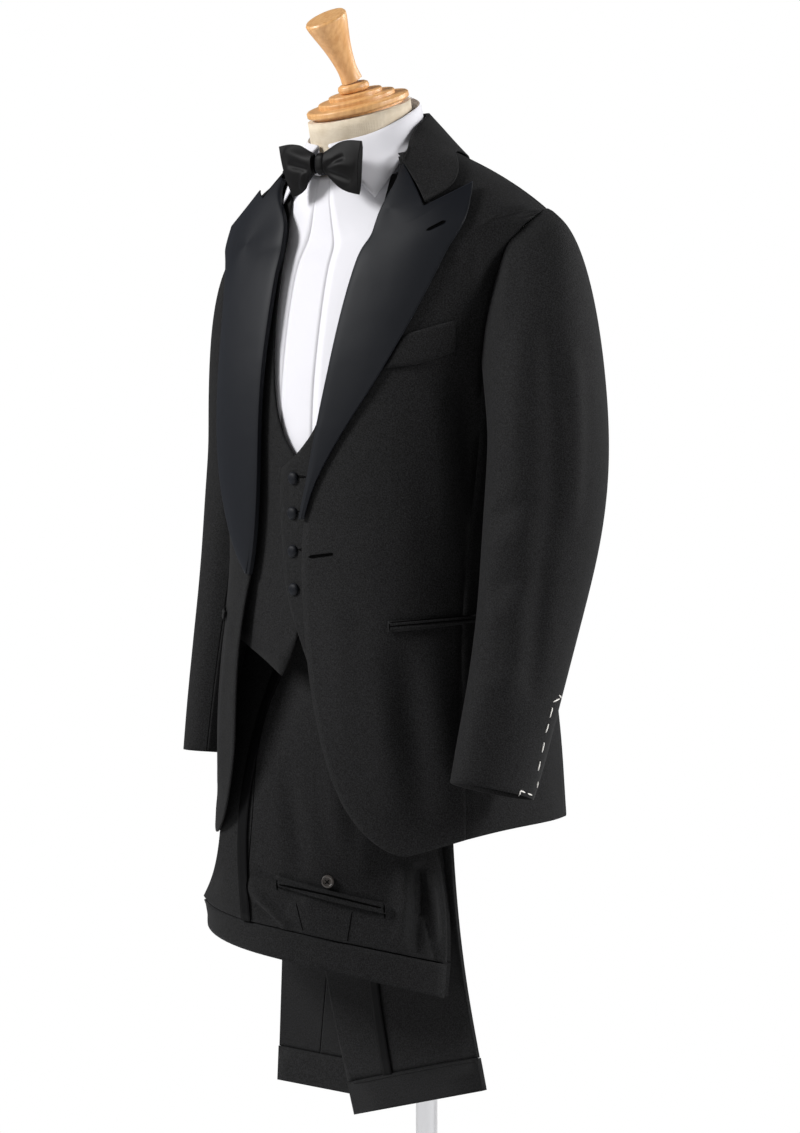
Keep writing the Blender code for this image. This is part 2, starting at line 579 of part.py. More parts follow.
def lapel_points(edge, lapel, gorge):
    """A lapel, laid back over the front from the roll line to its own edge, with the dip of the gorge."""
    bottom, top = lapel[0][0], lapel[-1][0]
    dip_angle, dip_height = gorge
    inside = HEIGHTS[(HEIGHTS > bottom + 0.01) & (HEIGHTS <= LAPEL_TOP)]
    roll_height = np.concatenate([[bottom], inside])[:, None]
    up = (roll_height - bottom) / (LAPEL_TOP - bottom)
    edge_height = bottom + (top - bottom) * up
    roll = np.radians(along(edge, roll_height))
    outer = np.radians(along(lapel, edge_height))
    lift = along(lapel, edge_height, 2)
    columns = []
    for across, high in LAPEL_ROLL:
        angle = roll + turn_of(across, roll, roll_height)
        columns.append(raised(angle, roll_height, np.full_like(up, high)))
    for share in (0.2, GORGE_SHARE, 0.6, 0.8, 1.0):
        dip = min(share / GORGE_SHARE, (1 - share) / (1 - GORGE_SHARE)) * ease(0.55, 1.0, up)
        angle = roll + (outer - roll) * share - math.radians(dip_angle) * dip
        height = roll_height + (edge_height - roll_height) * share - dip_height * dip
        high = LAPEL_ROLL[-1][1] * (1 - share) + lift * share
        columns.append(raised(angle, height, high))
    return np.concatenate(columns, axis=1)


def patch_points(corners, lifts, columns):
    """A strip on the front between a lower and an upper edge, lifted row by row."""
    rows = []
    for share, lift in zip(np.linspace(0, 1, len(lifts)), lifts):
        low, high = (np.array(edge) for edge in corners)
        line = low + (high - low) * share
        at = np.linspace(line[0, 0], line[-1, 0], columns)
        rows.append(raised(np.radians(at), smooth(line[:, 0], line[:, 1], at), np.full(columns, lift)))
    return np.stack(rows)


def armhole_loop(phase):
    """The armhole as a loop: 0 is its top, a quarter turn its front and half a turn the underarm."""
    height = SHOULDER_TIP - (SHOULDER_TIP - ARMPIT + UNDERARM_SAG) * (1 - np.cos(phase)) / 2
    front = np.interp(height, ARMHOLE["height"], ARMHOLE["front_edge"])
    back = np.interp(height, ARMHOLE["height"], ARMHOLE["back_edge"])
    share = np.arcsin(np.clip((ARMPIT - height) / UNDERARM_SAG, 0, 1)) / math.pi
    ahead = np.sin(phase) > 0
    angle = np.where(ahead, front + (back - front) * share, back - (back - front) * share)
    return raised(np.radians(angle), height, np.full_like(height, SLEEVE_LIFT))


def sleeve_points(table, first, last, columns, sleeve_slope):
    """Part of a sleeve between two of its seams, from the armhole to the cuff."""
    rows = {name: np.array(column) for name, column in zip(SLEEVE_COLUMNS, zip(*table))}
    order = np.argsort(rows["height"])
    height_knots = rows["height"][order]

    def section(name, height):
        return smooth(height_knots, rows[name][order], height)

    space = SEAM / SLEEVE_RADIUS
    phase = np.linspace(math.radians(first) + space, math.radians(last) - space, columns)[None, :]
    cosine, sine = np.cos(phase), np.sin(phase)

    def ring(height):
        lean = (section("ahead", height + 0.01) - section("ahead", height - 0.01)) / 0.02
        lean = lean * (1 - ease(LEAN_FROM, LEAN_TO, height))
        lean = lean + CUFF_SLOPE * (1 - ease(CUFF_FROM, CUFF_TO, height)) * sleeve_slope
        y = -section("half_depth", height) * sine
        x = section("across", height) + section("half_width", height) * cosine
        return np.stack([x, section("ahead", height) + y, height - y * lean], axis=-1)

    low = ring(np.array(SLEEVE_HEIGHTS)[:, None])
    start, end = armhole_loop(phase), low[:1]
    outer = (1 + cosine) / 2
    out = HEAD_OUT[0] + HEAD_OUT[1] * cosine
    away = np.stack([out, -HEAD_AHEAD * sine, -HEAD_UNDER * (1 - outer)], axis=-1)
    away = away * (HEAD_LEAST + SLEEVE_FULLNESS * outer)[..., None]
    level = np.zeros_like(cosine)
    down = np.stack([level, level, -(HEAD_DROP[0] + HEAD_DROP[1] * outer)], axis=-1)
    t = np.array(HEAD_SHARES)[:, None, None]
    head = (2 * t**3 - 3 * t**2 + 1) * start + (t**3 - 2 * t**2 + t) * away
    head = head + (3 * t**2 - 2 * t**3) * end + (t**3 - t**2) * down
    return np.concatenate([head, low])


def collar_points():
    """The jacket's collar, from the left gorge round the back of the neck to the right one."""
    front = np.linspace(LEFT_EDGE[-1][1], SHOULDER_SEAM, 7)
    seat = np.radians(np.concatenate([front, np.linspace(SHOULDER_SEAM, 180, 6)[1:]]))
    share = (seat - seat[0]) / (seat[-1] - seat[0])
    outer_at = math.radians(COLLAR_OUTER[0][0]) + (math.pi - math.radians(COLLAR_OUTER[0][0])) * share
    outer = raised(outer_at, along(COLLAR_OUTER, np.degrees(outer_at)), np.full_like(share, COLLAR_LIFT))
    fold_at = math.radians(COLLAR_FOLD[0][0]) + (math.pi - math.radians(COLLAR_FOLD[0][0])) * share
    far, high = (along(COLLAR_FOLD, np.degrees(fold_at), column) for column in (1, 2))
    fold = np.stack([far * np.sin(fold_at), NECK_MIDDLE - far * np.cos(fold_at), high], axis=-1)
    base = body(seat, NECK_LINE)
    inward = base * np.array([1, 1, 0]) - np.array([0, NECK_MIDDLE, 0])
    inward = inward / np.linalg.norm(inward, axis=-1, keepdims=True)
    base = base - inward * (WOOL + GAP + STAND_CLEAR)
    pull = (1 - ease(0.0, PULL_SHARE, share))[:, None]
    rows = []
    for part, bulge, angle, height, lift in COLLAR_END:
        row = outer + (fold - outer) * part + bulge * inward
        row = row + (raised(math.radians(angle), height, lift) - row[0]) * pull
        rows.append(clear_of_body(row, COLLAR_LIFT))
    fold = rows.pop()
    start = (1 - ease(0.0, RISE_SHARE, share))[:, None]
    up = np.array([0.0, 0.0, 1.0])
    base = base + start * ((WOOL + GAP) * inward + STAND_RISE * up)
    inner = fold - FOLD_IN * (1 - start) * inward + (FOLD_RISE * start - FOLD_SINK) * up
    middle = (fold + base) / 2 - STAND_HOLLOW * (1 - start) * inward + STAND_SWELL * start * up
    rows += [fold, inner, middle, base]
    half = np.stack(rows)
    return np.concatenate([half, mirrored(half[:, -2::-1])], axis=1)


def make_trim_of_jacket():
    for side, edge, lapel, turn in (
        ("left", LEFT_EDGE, LEFT_LAPEL, lambda points: points),
        ("right", RIGHT_EDGE, RIGHT_LAPEL, mirrored),
    ):
        cloth("lapel_" + side, turn(lapel_points(edge, lapel, GORGE_DIPS[side])), SATIN, BLACK_SATIN)
        cloth("hip_pocket_" + side, turn(patch_points(HIP_JETS, JET_LIFTS, 8)), WOOL, BLACK_WOOL)
    cloth("breast_welt", patch_points(BREAST_WELT, (0.0021, 0.0024, 0.0021), 6), WOOL, BLACK_WOOL)
    cloth("jacket_collar", collar_points(), WOOL, BLACK_WOOL)


def make_sleeves():
    for side, table, turn in (
        ("left", LEFT_SLEEVE, lambda points: points),
        ("right", RIGHT_SLEEVE, mirrored),
    ):
        slope = CUFF_SHARE[side]
        top = sleeve_points(table, SLEEVE_BACK_SEAM, SLEEVE_FRONT_SEAM, 10, slope)
        under = sleeve_points(table, SLEEVE_FRONT_SEAM, SLEEVE_BACK_SEAM + 360, 9, slope)
        cloth("top_sleeve_" + side, turn(top), WOOL, BLACK_WOOL)
        cloth("under_sleeve_" + side, turn(under), WOOL, BLACK_WOOL)


def make_body_of_jacket():
    cloth("jacket_front_left", front_points(LEFT_EDGE), WOOL, BLACK_WOOL)
    cloth("jacket_front_right", mirrored(front_points(RIGHT_EDGE)), WOOL, BLACK_WOOL)
    for side, turn in (("left", lambda points: points), ("right", mirrored)):
        cloth("jacket_side_" + side, turn(side_points()), WOOL, BLACK_WOOL)
        cloth("jacket_back_" + side, turn(back_points()), WOOL, BLACK_WOOL)


# Waistcoat


def side_of(table, height, column):
    """Where a front or a back ends, straight between the rows of the table."""
    return np.radians(np.interp(height, *np.array(table)[:, [0, column]].T))


def waistcoat_front(edge, point, inset):
    """A front of the waistcoat, whose lowest row follows the points."""
    height = np.array(WAISTCOAT_HEIGHTS)[:, None]
    start = np.radians(along(edge, height))
    end = side_of(WAISTCOAT_SIDE, height, 1)
    end = end - turn_of(SEAM, end, height)
    angle = start + (end - start) * np.array(WAISTCOAT_SHARES)
    height = height + 0 * angle
    height[0] = np.interp(np.degrees(angle[0]), *np.array(point).T)
    return body(angle, height, inset)


def whole_back(heights, table, columns, inset):
    """A back in one piece, from one side seam round to the other."""
    height = np.array(heights)[:, None]
    start = side_of(table, height, 2)
    start = start + turn_of(SEAM, start, height)
    half = body(start + (math.pi - start) * np.linspace(0, 1, columns), height, inset)
    return np.concatenate([half, mirrored(half[:, -2::-1])], axis=1)


def make_waistcoat():
    left = waistcoat_front(WAISTCOAT_LEFT, LEFT_POINT, WAISTCOAT_INSET)
    height = np.array(WAISTCOAT_HEIGHTS)[:, None]
    under = UNDER_INSET + (WAISTCOAT_INSET - UNDER_INSET) * ease(1.22, 1.38, height)
    yoke = WAISTCOAT_INSET + (SHOULDER_INSET - WAISTCOAT_INSET) * ease(1.42, 1.478, height)
    right = waistcoat_front(WAISTCOAT_RIGHT, RIGHT_POINT, under)
    cloth("waistcoat_front_left", left, WOOL, BLACK_WOOL)
    cloth("waistcoat_front_right", mirrored(right), WOOL, BLACK_WOOL)
    back = whole_back(WAISTCOAT_HEIGHTS, WAISTCOAT_SIDE, 7, yoke)
    cloth("waistcoat_back", back, WOOL, BLACK_WOOL)
    for number, (height, across) in enumerate(WAISTCOAT_BUTTONS, 1):
        ahead = body(0.0, height, WAISTCOAT_INSET)[1] - WOOL / 2 - GAP
        button = turned("waistcoat_button_%d" % number, BUTTON_PROFILE, 12, BLACK_SATIN)
        button.location = (across, ahead, height)
        button.rotation_euler = (math.pi / 2, 0, 0)


# Shirt


def shirt(angle, height):
    """The shirt's body, which runs further forward at the neck than the suit's."""
    forward = NECK_FORWARD * ease(1.450, 1.515, height) * np.clip(np.cos(angle), 0, 1) ** 2
    points = body(angle, height, SHIRT_INSET)
    points[..., 1] -= forward
    return points


def shirt_front():
    height = np.array(SHIRT_HEIGHTS)[:, None]
    start = math.radians(PLACKET_HALF) + turn_of(SEAM, 0.1, height)
    end = side_of(SHIRT_SIDE, height, 1)
    end = end - turn_of(SEAM, end, height)
    return shirt(start + (end - start) * np.linspace(0, 1, 7), height)


def about_neck(table, share):
    """Points round the neck from a table of degrees, distance and height."""
    at = np.radians(table[0][0] + (180 - table[0][0]) * share)
    far, high = (along(table, np.degrees(at), column) for column in (1, 2))
    return np.stack([far * np.sin(at), NECK_MIDDLE - far * np.cos(at), high], axis=-1)


def shirt_collar():
    """The collar in one piece: leaf, fold and stand, from one point round the neck to the other."""
    share = np.linspace(0, 1, 12)
    leaf, fold = about_neck(SHIRT_LEAF, share), about_neck(SHIRT_FOLD, share)
    base = shirt(np.radians(6 + 174 * share), np.full_like(share, SHIRT_HEIGHTS[-1]))
    base = base + np.array([0, 0, COTTON + GAP])
    inward = fold - np.array([0, NECK_MIDDLE, 0])
    inward[..., 2] = 0
    inward = inward / np.linalg.norm(inward, axis=-1, keepdims=True)
    up = np.array([0, 0, 1.0])
    over = fold + 0.0028 * inward - 0.002 * up
    rows = [leaf, leaf + (over - leaf) / 3 + 0.002 * inward, leaf + (over - leaf) * 2 / 3 + 0.002 * inward]
    held = 1 - ease(0.25, 0.55, share)[:, None]
    parts = zip(rows, (1, 0.5, 0))
    rows = [clear_of_body(row, LEAF_LIFT, WAISTCOAT_INSET, held * part) for row, part in parts]
    rows += [over, fold + 0.0014 * inward, fold - 0.002 * up, (fold + base) / 2, base]
    half = np.stack(rows)
    return np.concatenate([half, mirrored(half[:, -2::-1])], axis=1)


def make_shirt():
    for side, turn in (("left", lambda points: points), ("right", mirrored)):
        cloth("shirt_front_" + side, turn(shirt_front()), COTTON, WHITE_COTTON)
    height = np.array(SHIRT_HEIGHTS)[:, None]
    half = math.radians(PLACKET_HALF)
    cloth("shirt_placket", shirt(np.linspace(-half, half, 3), height), COTTON, WHITE_COTTON)
    cloth("shirt_back", whole_back(SHIRT_HEIGHTS, SHIRT_SIDE, 7, SHIRT_INSET), COTTON, WHITE_COTTON)
    cloth("shirt_collar", shirt_collar(), COTTON, WHITE_COTTON)


def wing_rings(reach, ahead, fuller, rise, slant, back):
    """A wing of the bow: flattened rounds that grow from the knot to the end, with two soft folds."""
    share = steps(0, 1, 8)
    around = np.linspace(0, 2 * math.pi, 14, endpoint=False)[None, :]
    high, thick = (along(WING, share, column) * fuller for column in (1, 2))
    fold = 1 + WING_FOLD_DEPTH * np.cos(WING_FOLDS * around) * ease(0, 0.3, share)
    z = BOW_HEIGHT + rise * share + high * np.sin(around)
    x = WING_START + reach * share + slant * share * np.sin(around)
    y = ahead + back * share - thick * fold * np.cos(around)
    return np.stack([x, y, z], axis=-1)


def make_bow():
    for name, *shape in BOW_WINGS:
        rings = wing_rings(*shape)
        if name.endswith("right"):
            rings = mirrored(rings)[:, ::-1]
        rings = rings + np.array([BOW_SLIP, BOW_BACK, 0.0])
        solid_loft(name, rings, BLACK_SATIN)
    across, deep, high = KNOT_HALF
    turn_at, level = np.linspace(0, 2 * math.pi, 16, endpoint=False), steps(-KNOT_ENDS, KNOT_ENDS, 7)
    round_off = (1 - level**4) ** 0.25
    sine, cosine = np.sin(turn_at), np.cos(turn_at)
    x = BOW_SLIP + across * round_off * np.sign(sine) * np.abs(sine) ** KNOT_SQUARE
    y = KNOT_AHEAD + BOW_BACK + deep * round_off * np.sign(cosine) * np.abs(cosine) ** KNOT_SQUARE
    knot = np.stack(np.broadcast_arrays(x, y, BOW_HEIGHT + high * level), axis=-1)
    solid_loft("bow_knot", knot, BLACK_SATIN)
    at = BOW_TURN + np.radians(np.linspace(-BAND_DEGREES, BAND_DEGREES, 5))[None, :]
    height = BOW_HEIGHT + steps(-BAND_HALF, BAND_HALF, 3)
    x, y = BAND_FAR * np.sin(at), NECK_MIDDLE - BAND_FAR * np.cos(at)
    cloth("bow_band", np.stack(np.broadcast_arrays(x, y, height), axis=-1), COTTON, BLACK_SATIN)


# Trousers


def trouser(path, along_seam, across, lift=0.0):
    """A point of the folded trousers: how far along the side seam, how far across and a lift outwards."""
    s, w = np.broadcast_arrays(np.asarray(along_seam, float), np.asarray(across, float))
    x, y, z, lean = (along(path, s, column) for column in (1, 2, 3, 4))
    radius = WAIST_BEND - (INNER_STEP if path is LEFT_PATH else 0)
    bend = np.maximum((1 - ease(BEND_FROM, BEND_TO, s)) / radius, 1e-4)
    reach, hollow = np.sin(bend * w) / bend, (1 - np.cos(bend * w)) / bend
    lean = np.radians(lean)
    points = np.stack([x + reach * np.cos(lean), y + hollow, z + reach * np.sin(lean)], axis=-1)
    if np.any(lift):
        step = 1e-4
        over = trouser(path, s, w + step) - trouser(path, s, w - step)
        up = trouser(path, s + step, w) - trouser(path, s - step, w)
        normal = np.cross(over, up)
        lift = np.asarray(lift, float)[..., None]
        points = points + lift * normal / np.linalg.norm(normal, axis=-1, keepdims=True)
    return points


def waist_line(across):
    """How far along the side seam the waist's edge lies: it rises at the back and dips in front."""
    share = np.abs(across) / OUTLINE[0][2]
    return np.where(across > 0, -BACK_RISE * share**1.5, FRONT_DIP * share)


def trouser_grid(path, rows, shares):
    """A piece of the trousers over shares of the outline: 0 is the front edge, 1 the seam and 2 the back."""
    s = np.array(rows)[:, None]
    front, back, seam = (along(OUTLINE, s, column) for column in (1, 2, 3))
    share = np.array(shares)[None, :]
    first, second = np.clip(share, 0, 1), np.clip(share - 1, 0, 1)
    w = front + (seam - front) * first + (back - seam) * second
    if shares[0] == 1:
        w = w + TROUSER_SEAM / 2 * (1 - second)
    if shares[-1] == 1:
        w = w - TROUSER_SEAM / 2 * first
    s = s + waist_line(w) * (1 - ease(0.0, 0.16, s))
    return trouser(path, s, w)


def make_trousers():
    cuff = (TROUSER_LENGTH - TURN_UP, TROUSER_LENGTH - TURN_UP / 2, TROUSER_LENGTH)
    band = (0.0, BAND_DEPTH / 2, BAND_DEPTH)
    top, hem = BAND_DEPTH + TROUSER_SEAM, TROUSER_LENGTH - TURN_UP - SEAM
    for side, path, fold, face in (
        ("right", RIGHT_PATH, RIGHT_FOLD, 1),
        ("left", LEFT_PATH, LEFT_FOLD, -1),
    ):
        rows = (top,) + FRONT_ROWS + fold + BACK_ROWS + (hem,)
        for panel, shares in (("front", FRONT_SHARES), ("back", BACK_SHARES)):
            cloth("trouser_%s_%s" % (panel, side), trouser_grid(path, rows, shares), LAYERS, BLACK_WOOL)
        whole = FRONT_SHARES + BACK_SHARES[1:]
        cloth("waistband_" + side, trouser_grid(path, band, whole), BAND_LAYERS, BLACK_WOOL)
        cloth("turn_up_" + side, trouser_grid(path, cuff, whole[::2]), TURN_UP_LAYERS, BLACK_WOOL)
        s = np.array(rows)[:, None]
        middle = along(OUTLINE, s, 3)
        w = middle + np.array([-STRIPE_HALF, STRIPE_HALF])
        lift = np.full_like(w, face * (LAYERS / 2 + GAP + SATIN / 2 + STRIPE_CLEAR[side]))
        cloth("satin_stripe_" + side, trouser(path, s, w, lift), SATIN, BLACK_SATIN)
    (from_w, from_s), (to_w, to_s) = BACK_POCKET
    w = np.linspace(from_w, to_w, 9)[None, :]
    across = np.array([-1, -0.5, 0, 0.5, 1])[:, None] * BACK_POCKET_HALF
    lift = LAYERS / 2 - WOOL / 2 + np.array(JET_LIFTS)[:, None] + 0 * w
    s = from_s + (to_s - from_s) * (w - from_w) / (to_w - from_w) + across
    cloth("back_pocket", trouser(RIGHT_PATH, s, w, lift), WOOL, BLACK_WOOL)
    w, s = BACK_BUTTON
    button = turned("back_pocket_button", FLAT_BUTTON, 14, BLACK_HORN)
    button.location = trouser(RIGHT_PATH, s, w, LAYERS / 2 + BUTTON_SEAT)
    ahead = trouser(RIGHT_PATH, s, w, 1.0) - trouser(RIGHT_PATH, s, w)
    button.rotation_euler = (math.acos(ahead[2]), 0, math.atan2(ahead[0], -ahead[1]))


# Dress form and stand


def make_form():
    around = np.linspace(0, 2 * math.pi, 28, endpoint=False)
    rings = [body(around, np.full_like(around, height), FORM_INSET) for height in FORM_HEIGHTS]
    for number, (behind, height, radius) in enumerate(NECK_RINGS, 1):
        y = behind - radius * np.cos(around)
        tilt = math.tan(NECK_TILT) * number / len(NECK_RINGS)
        rings.append(np.stack([radius * np.sin(around), y, height + (y - behind) * tilt], axis=-1))
    solid_loft("form_torso", np.stack(rings)[:, ::-1], LINEN)
    behind, height, radius = NECK_RINGS[-1]
    turned("neck_discs", DISCS, 30, BEECH, (0, behind, height + DISC_CLEAR), NECK_TILT)
    turned("knob_ring", KNOB_RING, 20, BEECH, RING_AT, RING_TILT)
    turned("handle", HANDLE, 20, BEECH, HANDLE_AT, HANDLE_TILT)
    turned("base", BASE, 40, PAINTED_STEEL)
    top = FORM_HEIGHTS[0] - GAP
    foot = BASE[0][1] + GAP
    pole = ((0.0, top), (POLE_RADIUS, top), (POLE_RADIUS, foot), (0.0, foot))
    turned("pole", pole, 16, STEEL, (0, POLE_BEHIND, 0))
    rod("trouser_bar", [(x, y, BAR_HEIGHT) for x, y in BAR], BAR_RADIUS, STEEL)


# Build

for stale in list(bpy.data.objects):
    bpy.data.objects.remove(stale, do_unlink=True)
SUIT = bpy.data.collections.new("dinner_suit")
bpy.context.scene.collection.children.link(SUIT)

BLACK_WOOL = finish("black_wool", (0.012, 0.012, 0.013), 0.85)
BLACK_SATIN = finish("black_satin", (0.018, 0.020, 0.028), 0.35)
WHITE_COTTON = finish("white_cotton", (0.80, 0.80, 0.80), 0.75)
LINEN = finish("beige_linen", (0.60, 0.52, 0.42), 0.85)
BEECH = finish("beech", (0.60, 0.34, 0.13), 0.45)
BLACK_HORN = finish("black_horn", (0.015, 0.014, 0.013), 0.40)
STEEL = finish("steel", (0.55, 0.55, 0.56), 0.35, 1.0)
PAINTED_STEEL = finish("painted_steel", (0.05, 0.05, 0.05), 0.50)
make_body_of_jacket()
make_trim_of_jacket()
make_sleeves()
make_waistcoat()
make_shirt()
make_bow()
make_trousers()
make_form()
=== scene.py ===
"""A black dinner suit on a limbless dress form, with its trousers folded over a bar inside the jacket.

The sections follow the suit as it is put together: the form and its stand, the shirt, the waistcoat, the
trousers, the jacket and the bow tie. Sizes are in metres, the suit faces -Y and stands at z = 0.
"""

import math

import bmesh
import bpy
import numpy as np
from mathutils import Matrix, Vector
from mathutils.bvhtree import BVHTree


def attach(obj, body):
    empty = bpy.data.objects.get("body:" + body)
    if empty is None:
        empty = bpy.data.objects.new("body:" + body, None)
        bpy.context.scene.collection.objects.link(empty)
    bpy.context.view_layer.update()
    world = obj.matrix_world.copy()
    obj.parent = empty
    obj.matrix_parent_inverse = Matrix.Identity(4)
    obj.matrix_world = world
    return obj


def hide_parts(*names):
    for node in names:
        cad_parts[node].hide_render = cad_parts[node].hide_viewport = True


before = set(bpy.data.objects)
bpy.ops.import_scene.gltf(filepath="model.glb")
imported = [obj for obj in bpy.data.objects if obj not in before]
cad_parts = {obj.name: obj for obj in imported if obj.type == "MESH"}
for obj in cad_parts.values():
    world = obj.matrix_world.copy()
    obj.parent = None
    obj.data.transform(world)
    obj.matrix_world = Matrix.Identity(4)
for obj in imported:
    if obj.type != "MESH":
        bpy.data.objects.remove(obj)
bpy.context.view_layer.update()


# Camera
# A long lens three metres away, a little above the waistcoat's top button and 44 degrees round to the
# wearer's left. The photograph is 800 by 1133 pixels and the focal length is counted in those.

PHOTO_WIDTH, PHOTO_HEIGHT, FOCAL = 800, 1133, 2700
ROUND, AWAY, EYE = math.radians(44), 3.0, 1.19
AXIS_X, HORIZON_Y = 393, 445
SENSOR = 36

TILT = math.atan((PHOTO_HEIGHT / 2 - HORIZON_Y) / FOCAL)
ASIDE = math.atan((PHOTO_WIDTH / 2 - AXIS_X) / FOCAL)
HEADING = math.pi / 2 + ROUND - ASIDE
LENS_AT = Vector((AWAY * math.sin(ROUND), -AWAY * math.cos(ROUND), EYE))
AHEAD = Vector((math.cos(HEADING) * math.cos(TILT), math.sin(HEADING) * math.cos(TILT), -math.sin(TILT)))
RIGHT = AHEAD.cross(Vector((0, 0, 1))).normalized()
UP = RIGHT.cross(AHEAD)

camera = bpy.data.objects.new("camera", bpy.data.cameras.new("camera"))
camera.data.sensor_fit = "VERTICAL"
camera.data.sensor_height = SENSOR
camera.data.lens = FOCAL / PHOTO_HEIGHT * SENSOR
camera.location = LENS_AT
camera.rotation_euler = AHEAD.to_track_quat("-Z", "Y").to_euler()
bpy.context.scene.collection.objects.link(camera)
bpy.context.scene.camera = camera


# Floor and studio light
# Pale paper that the camera sees as plain white, a broad soft window to the camera's left, a weaker one on
# its right and a strip behind for the edges of the black cloth.

STUDIO_PAPER = "#fbfbfb"
LAMPS = (
    ("window", (-2.0, -3.1, 3.2), (0.0, 0.0, 1.0), 1.2, 215),
    ("fill", (3.2, 0.9, 2.4), (0.0, 0.0, 1.0), 1.0, 95),
    ("strip", (1.2, 2.8, 2.6), (0.0, 0.0, 1.2), 1.6, 60),
)
DAYLIGHT = 0.13
FLOOR_HALF = 9


def linear(colour):
    """An sRGB hex colour as linear light: each channel to the power 2.4 past its short straight start."""
    channels = [int(colour[at : at + 2], 16) / 255 for at in (1, 3, 5)]
    return [c / 12.92 if c <= 0.04045 else ((c + 0.055) / 1.055) ** 2.4 for c in channels] + [1.0]


def add(look, kind, inputs=(), **settings):
    """Adds one node to a material, with its settings and a value or a feeding socket for each input."""
    made = look.node_tree.nodes.new(kind)
    for name, value in settings.items():
        setattr(made, name, value)
    for name, value in dict(inputs).items():
        if isinstance(value, bpy.types.NodeSocket):
            look.node_tree.links.new(value, made.inputs[name])
        else:
            made.inputs[name].default_value = value
    return made


def surface(name, **sockets):
    """A new material with its shader's own sockets set: the words of each name stand for its spaces."""
    look = bpy.data.materials.new(name)
    look.use_nodes = True
    shader = look.node_tree.nodes["Principled BSDF"]
    for socket, value in sockets.items():
        shader.inputs[socket.replace("_", " ")].default_value = value
    return look, shader


def lit_behind(tree, shining, ending, socket):
    """Lets the camera see plain white where the cloth sees something dimmer, as in a cut-out photograph."""
    sight = tree.nodes.new("ShaderNodeLightPath")
    white = "ShaderNodeEmission" if ending.type == "OUTPUT_MATERIAL" else "ShaderNodeBackground"
    glow = tree.nodes.new(white)
    glow.inputs["Color"].default_value = (1, 1, 1, 1)
    choice = tree.nodes.new("ShaderNodeMixShader")
    tree.links.new(sight.outputs["Is Camera Ray"], choice.inputs[0])
    tree.links.new(shining.outputs[socket], choice.inputs[1])
    tree.links.new(glow.outputs[0], choice.inputs[2])
    tree.links.new(choice.outputs[0], ending.inputs["Surface"])


paper, shader = surface("studio_paper", Base_Color=linear(STUDIO_PAPER), Roughness=0.9)
lit_behind(paper.node_tree, shader, paper.node_tree.nodes["Material Output"], "BSDF")
floor_mesh = bpy.data.meshes.new("floor")
floor_corners = [(x * FLOOR_HALF, y * FLOOR_HALF, 0) for x, y in ((-1, -1), (1, -1), (1, 1), (-1, 1))]
floor_mesh.from_pydata(floor_corners, [], [(0, 1, 2, 3)])
floor_mesh.materials.append(paper)
floor = bpy.data.objects.new("floor", floor_mesh)
bpy.context.scene.collection.objects.link(floor)

for name, stands_at, aim, size, watts in LAMPS:
    light = bpy.data.lights.new(name, "AREA")
    light.size, light.energy = size, watts
    lamp = bpy.data.objects.new(name, light)
    lamp.location = stands_at
    lamp.rotation_euler = (Vector(aim) - Vector(stands_at)).to_track_quat("-Z", "Y").to_euler()
    bpy.context.scene.collection.objects.link(lamp)
world = bpy.data.worlds.new("studio")
world.use_nodes = True
sky = world.node_tree.nodes["Background"]
sky.inputs["Color"].default_value = (1, 1, 1, 1)
sky.inputs["Strength"].default_value = DAYLIGHT
lit_behind(world.node_tree, sky, world.node_tree.nodes["World Output"], "Background")
bpy.context.scene.world = world
bpy.context.scene.view_settings.view_transform = "Standard"


# Dress form and stand
# A padded torso covered in unbleached linen, with a turned beech cap of discs, ring and knob on its neck.
# It stands on a brushed steel pole in a painted base, and a bent steel bar under it carries the trousers.

MERGE, FLAT_QUAD = 0.00002, math.radians(30)
HELD_EDGE, TURNED_EDGE = math.radians(48), math.radians(26)
# A face with an edge shorter than this is taken as the cut edge of a single cloth wall
WALL, SEAM_OVERLAP = 0.0033, 0.0005
LINEN, LINEN_SHADE, LINEN_LIGHT, LINEN_THREAD = "#d6c8b2", "#bfae94", "#e4d8c4", 0.0016
BEECH, BEECH_GRAIN = "#dcaa70", "#cb955b"
STEEL, PAINT = "#c4c4c6", "#3a3a3b"
# How far apart the bands of a wave texture lie at scale 1
BAND_SPACING = 0.314


def sewn_up(work, close):
    """Moves a wall's edges outwards in its own surface, so that a seam with the next piece shows no gap."""
    ways = {}
    for face in work.faces:
        if min(edge.calc_length() for edge in face.edges) < WALL:
            for vert in face.verts:
                ways[vert] = ways.get(vert, Vector()) + face.normal
    for vert, way in ways.items():
        vert.co += way.normalized() * close


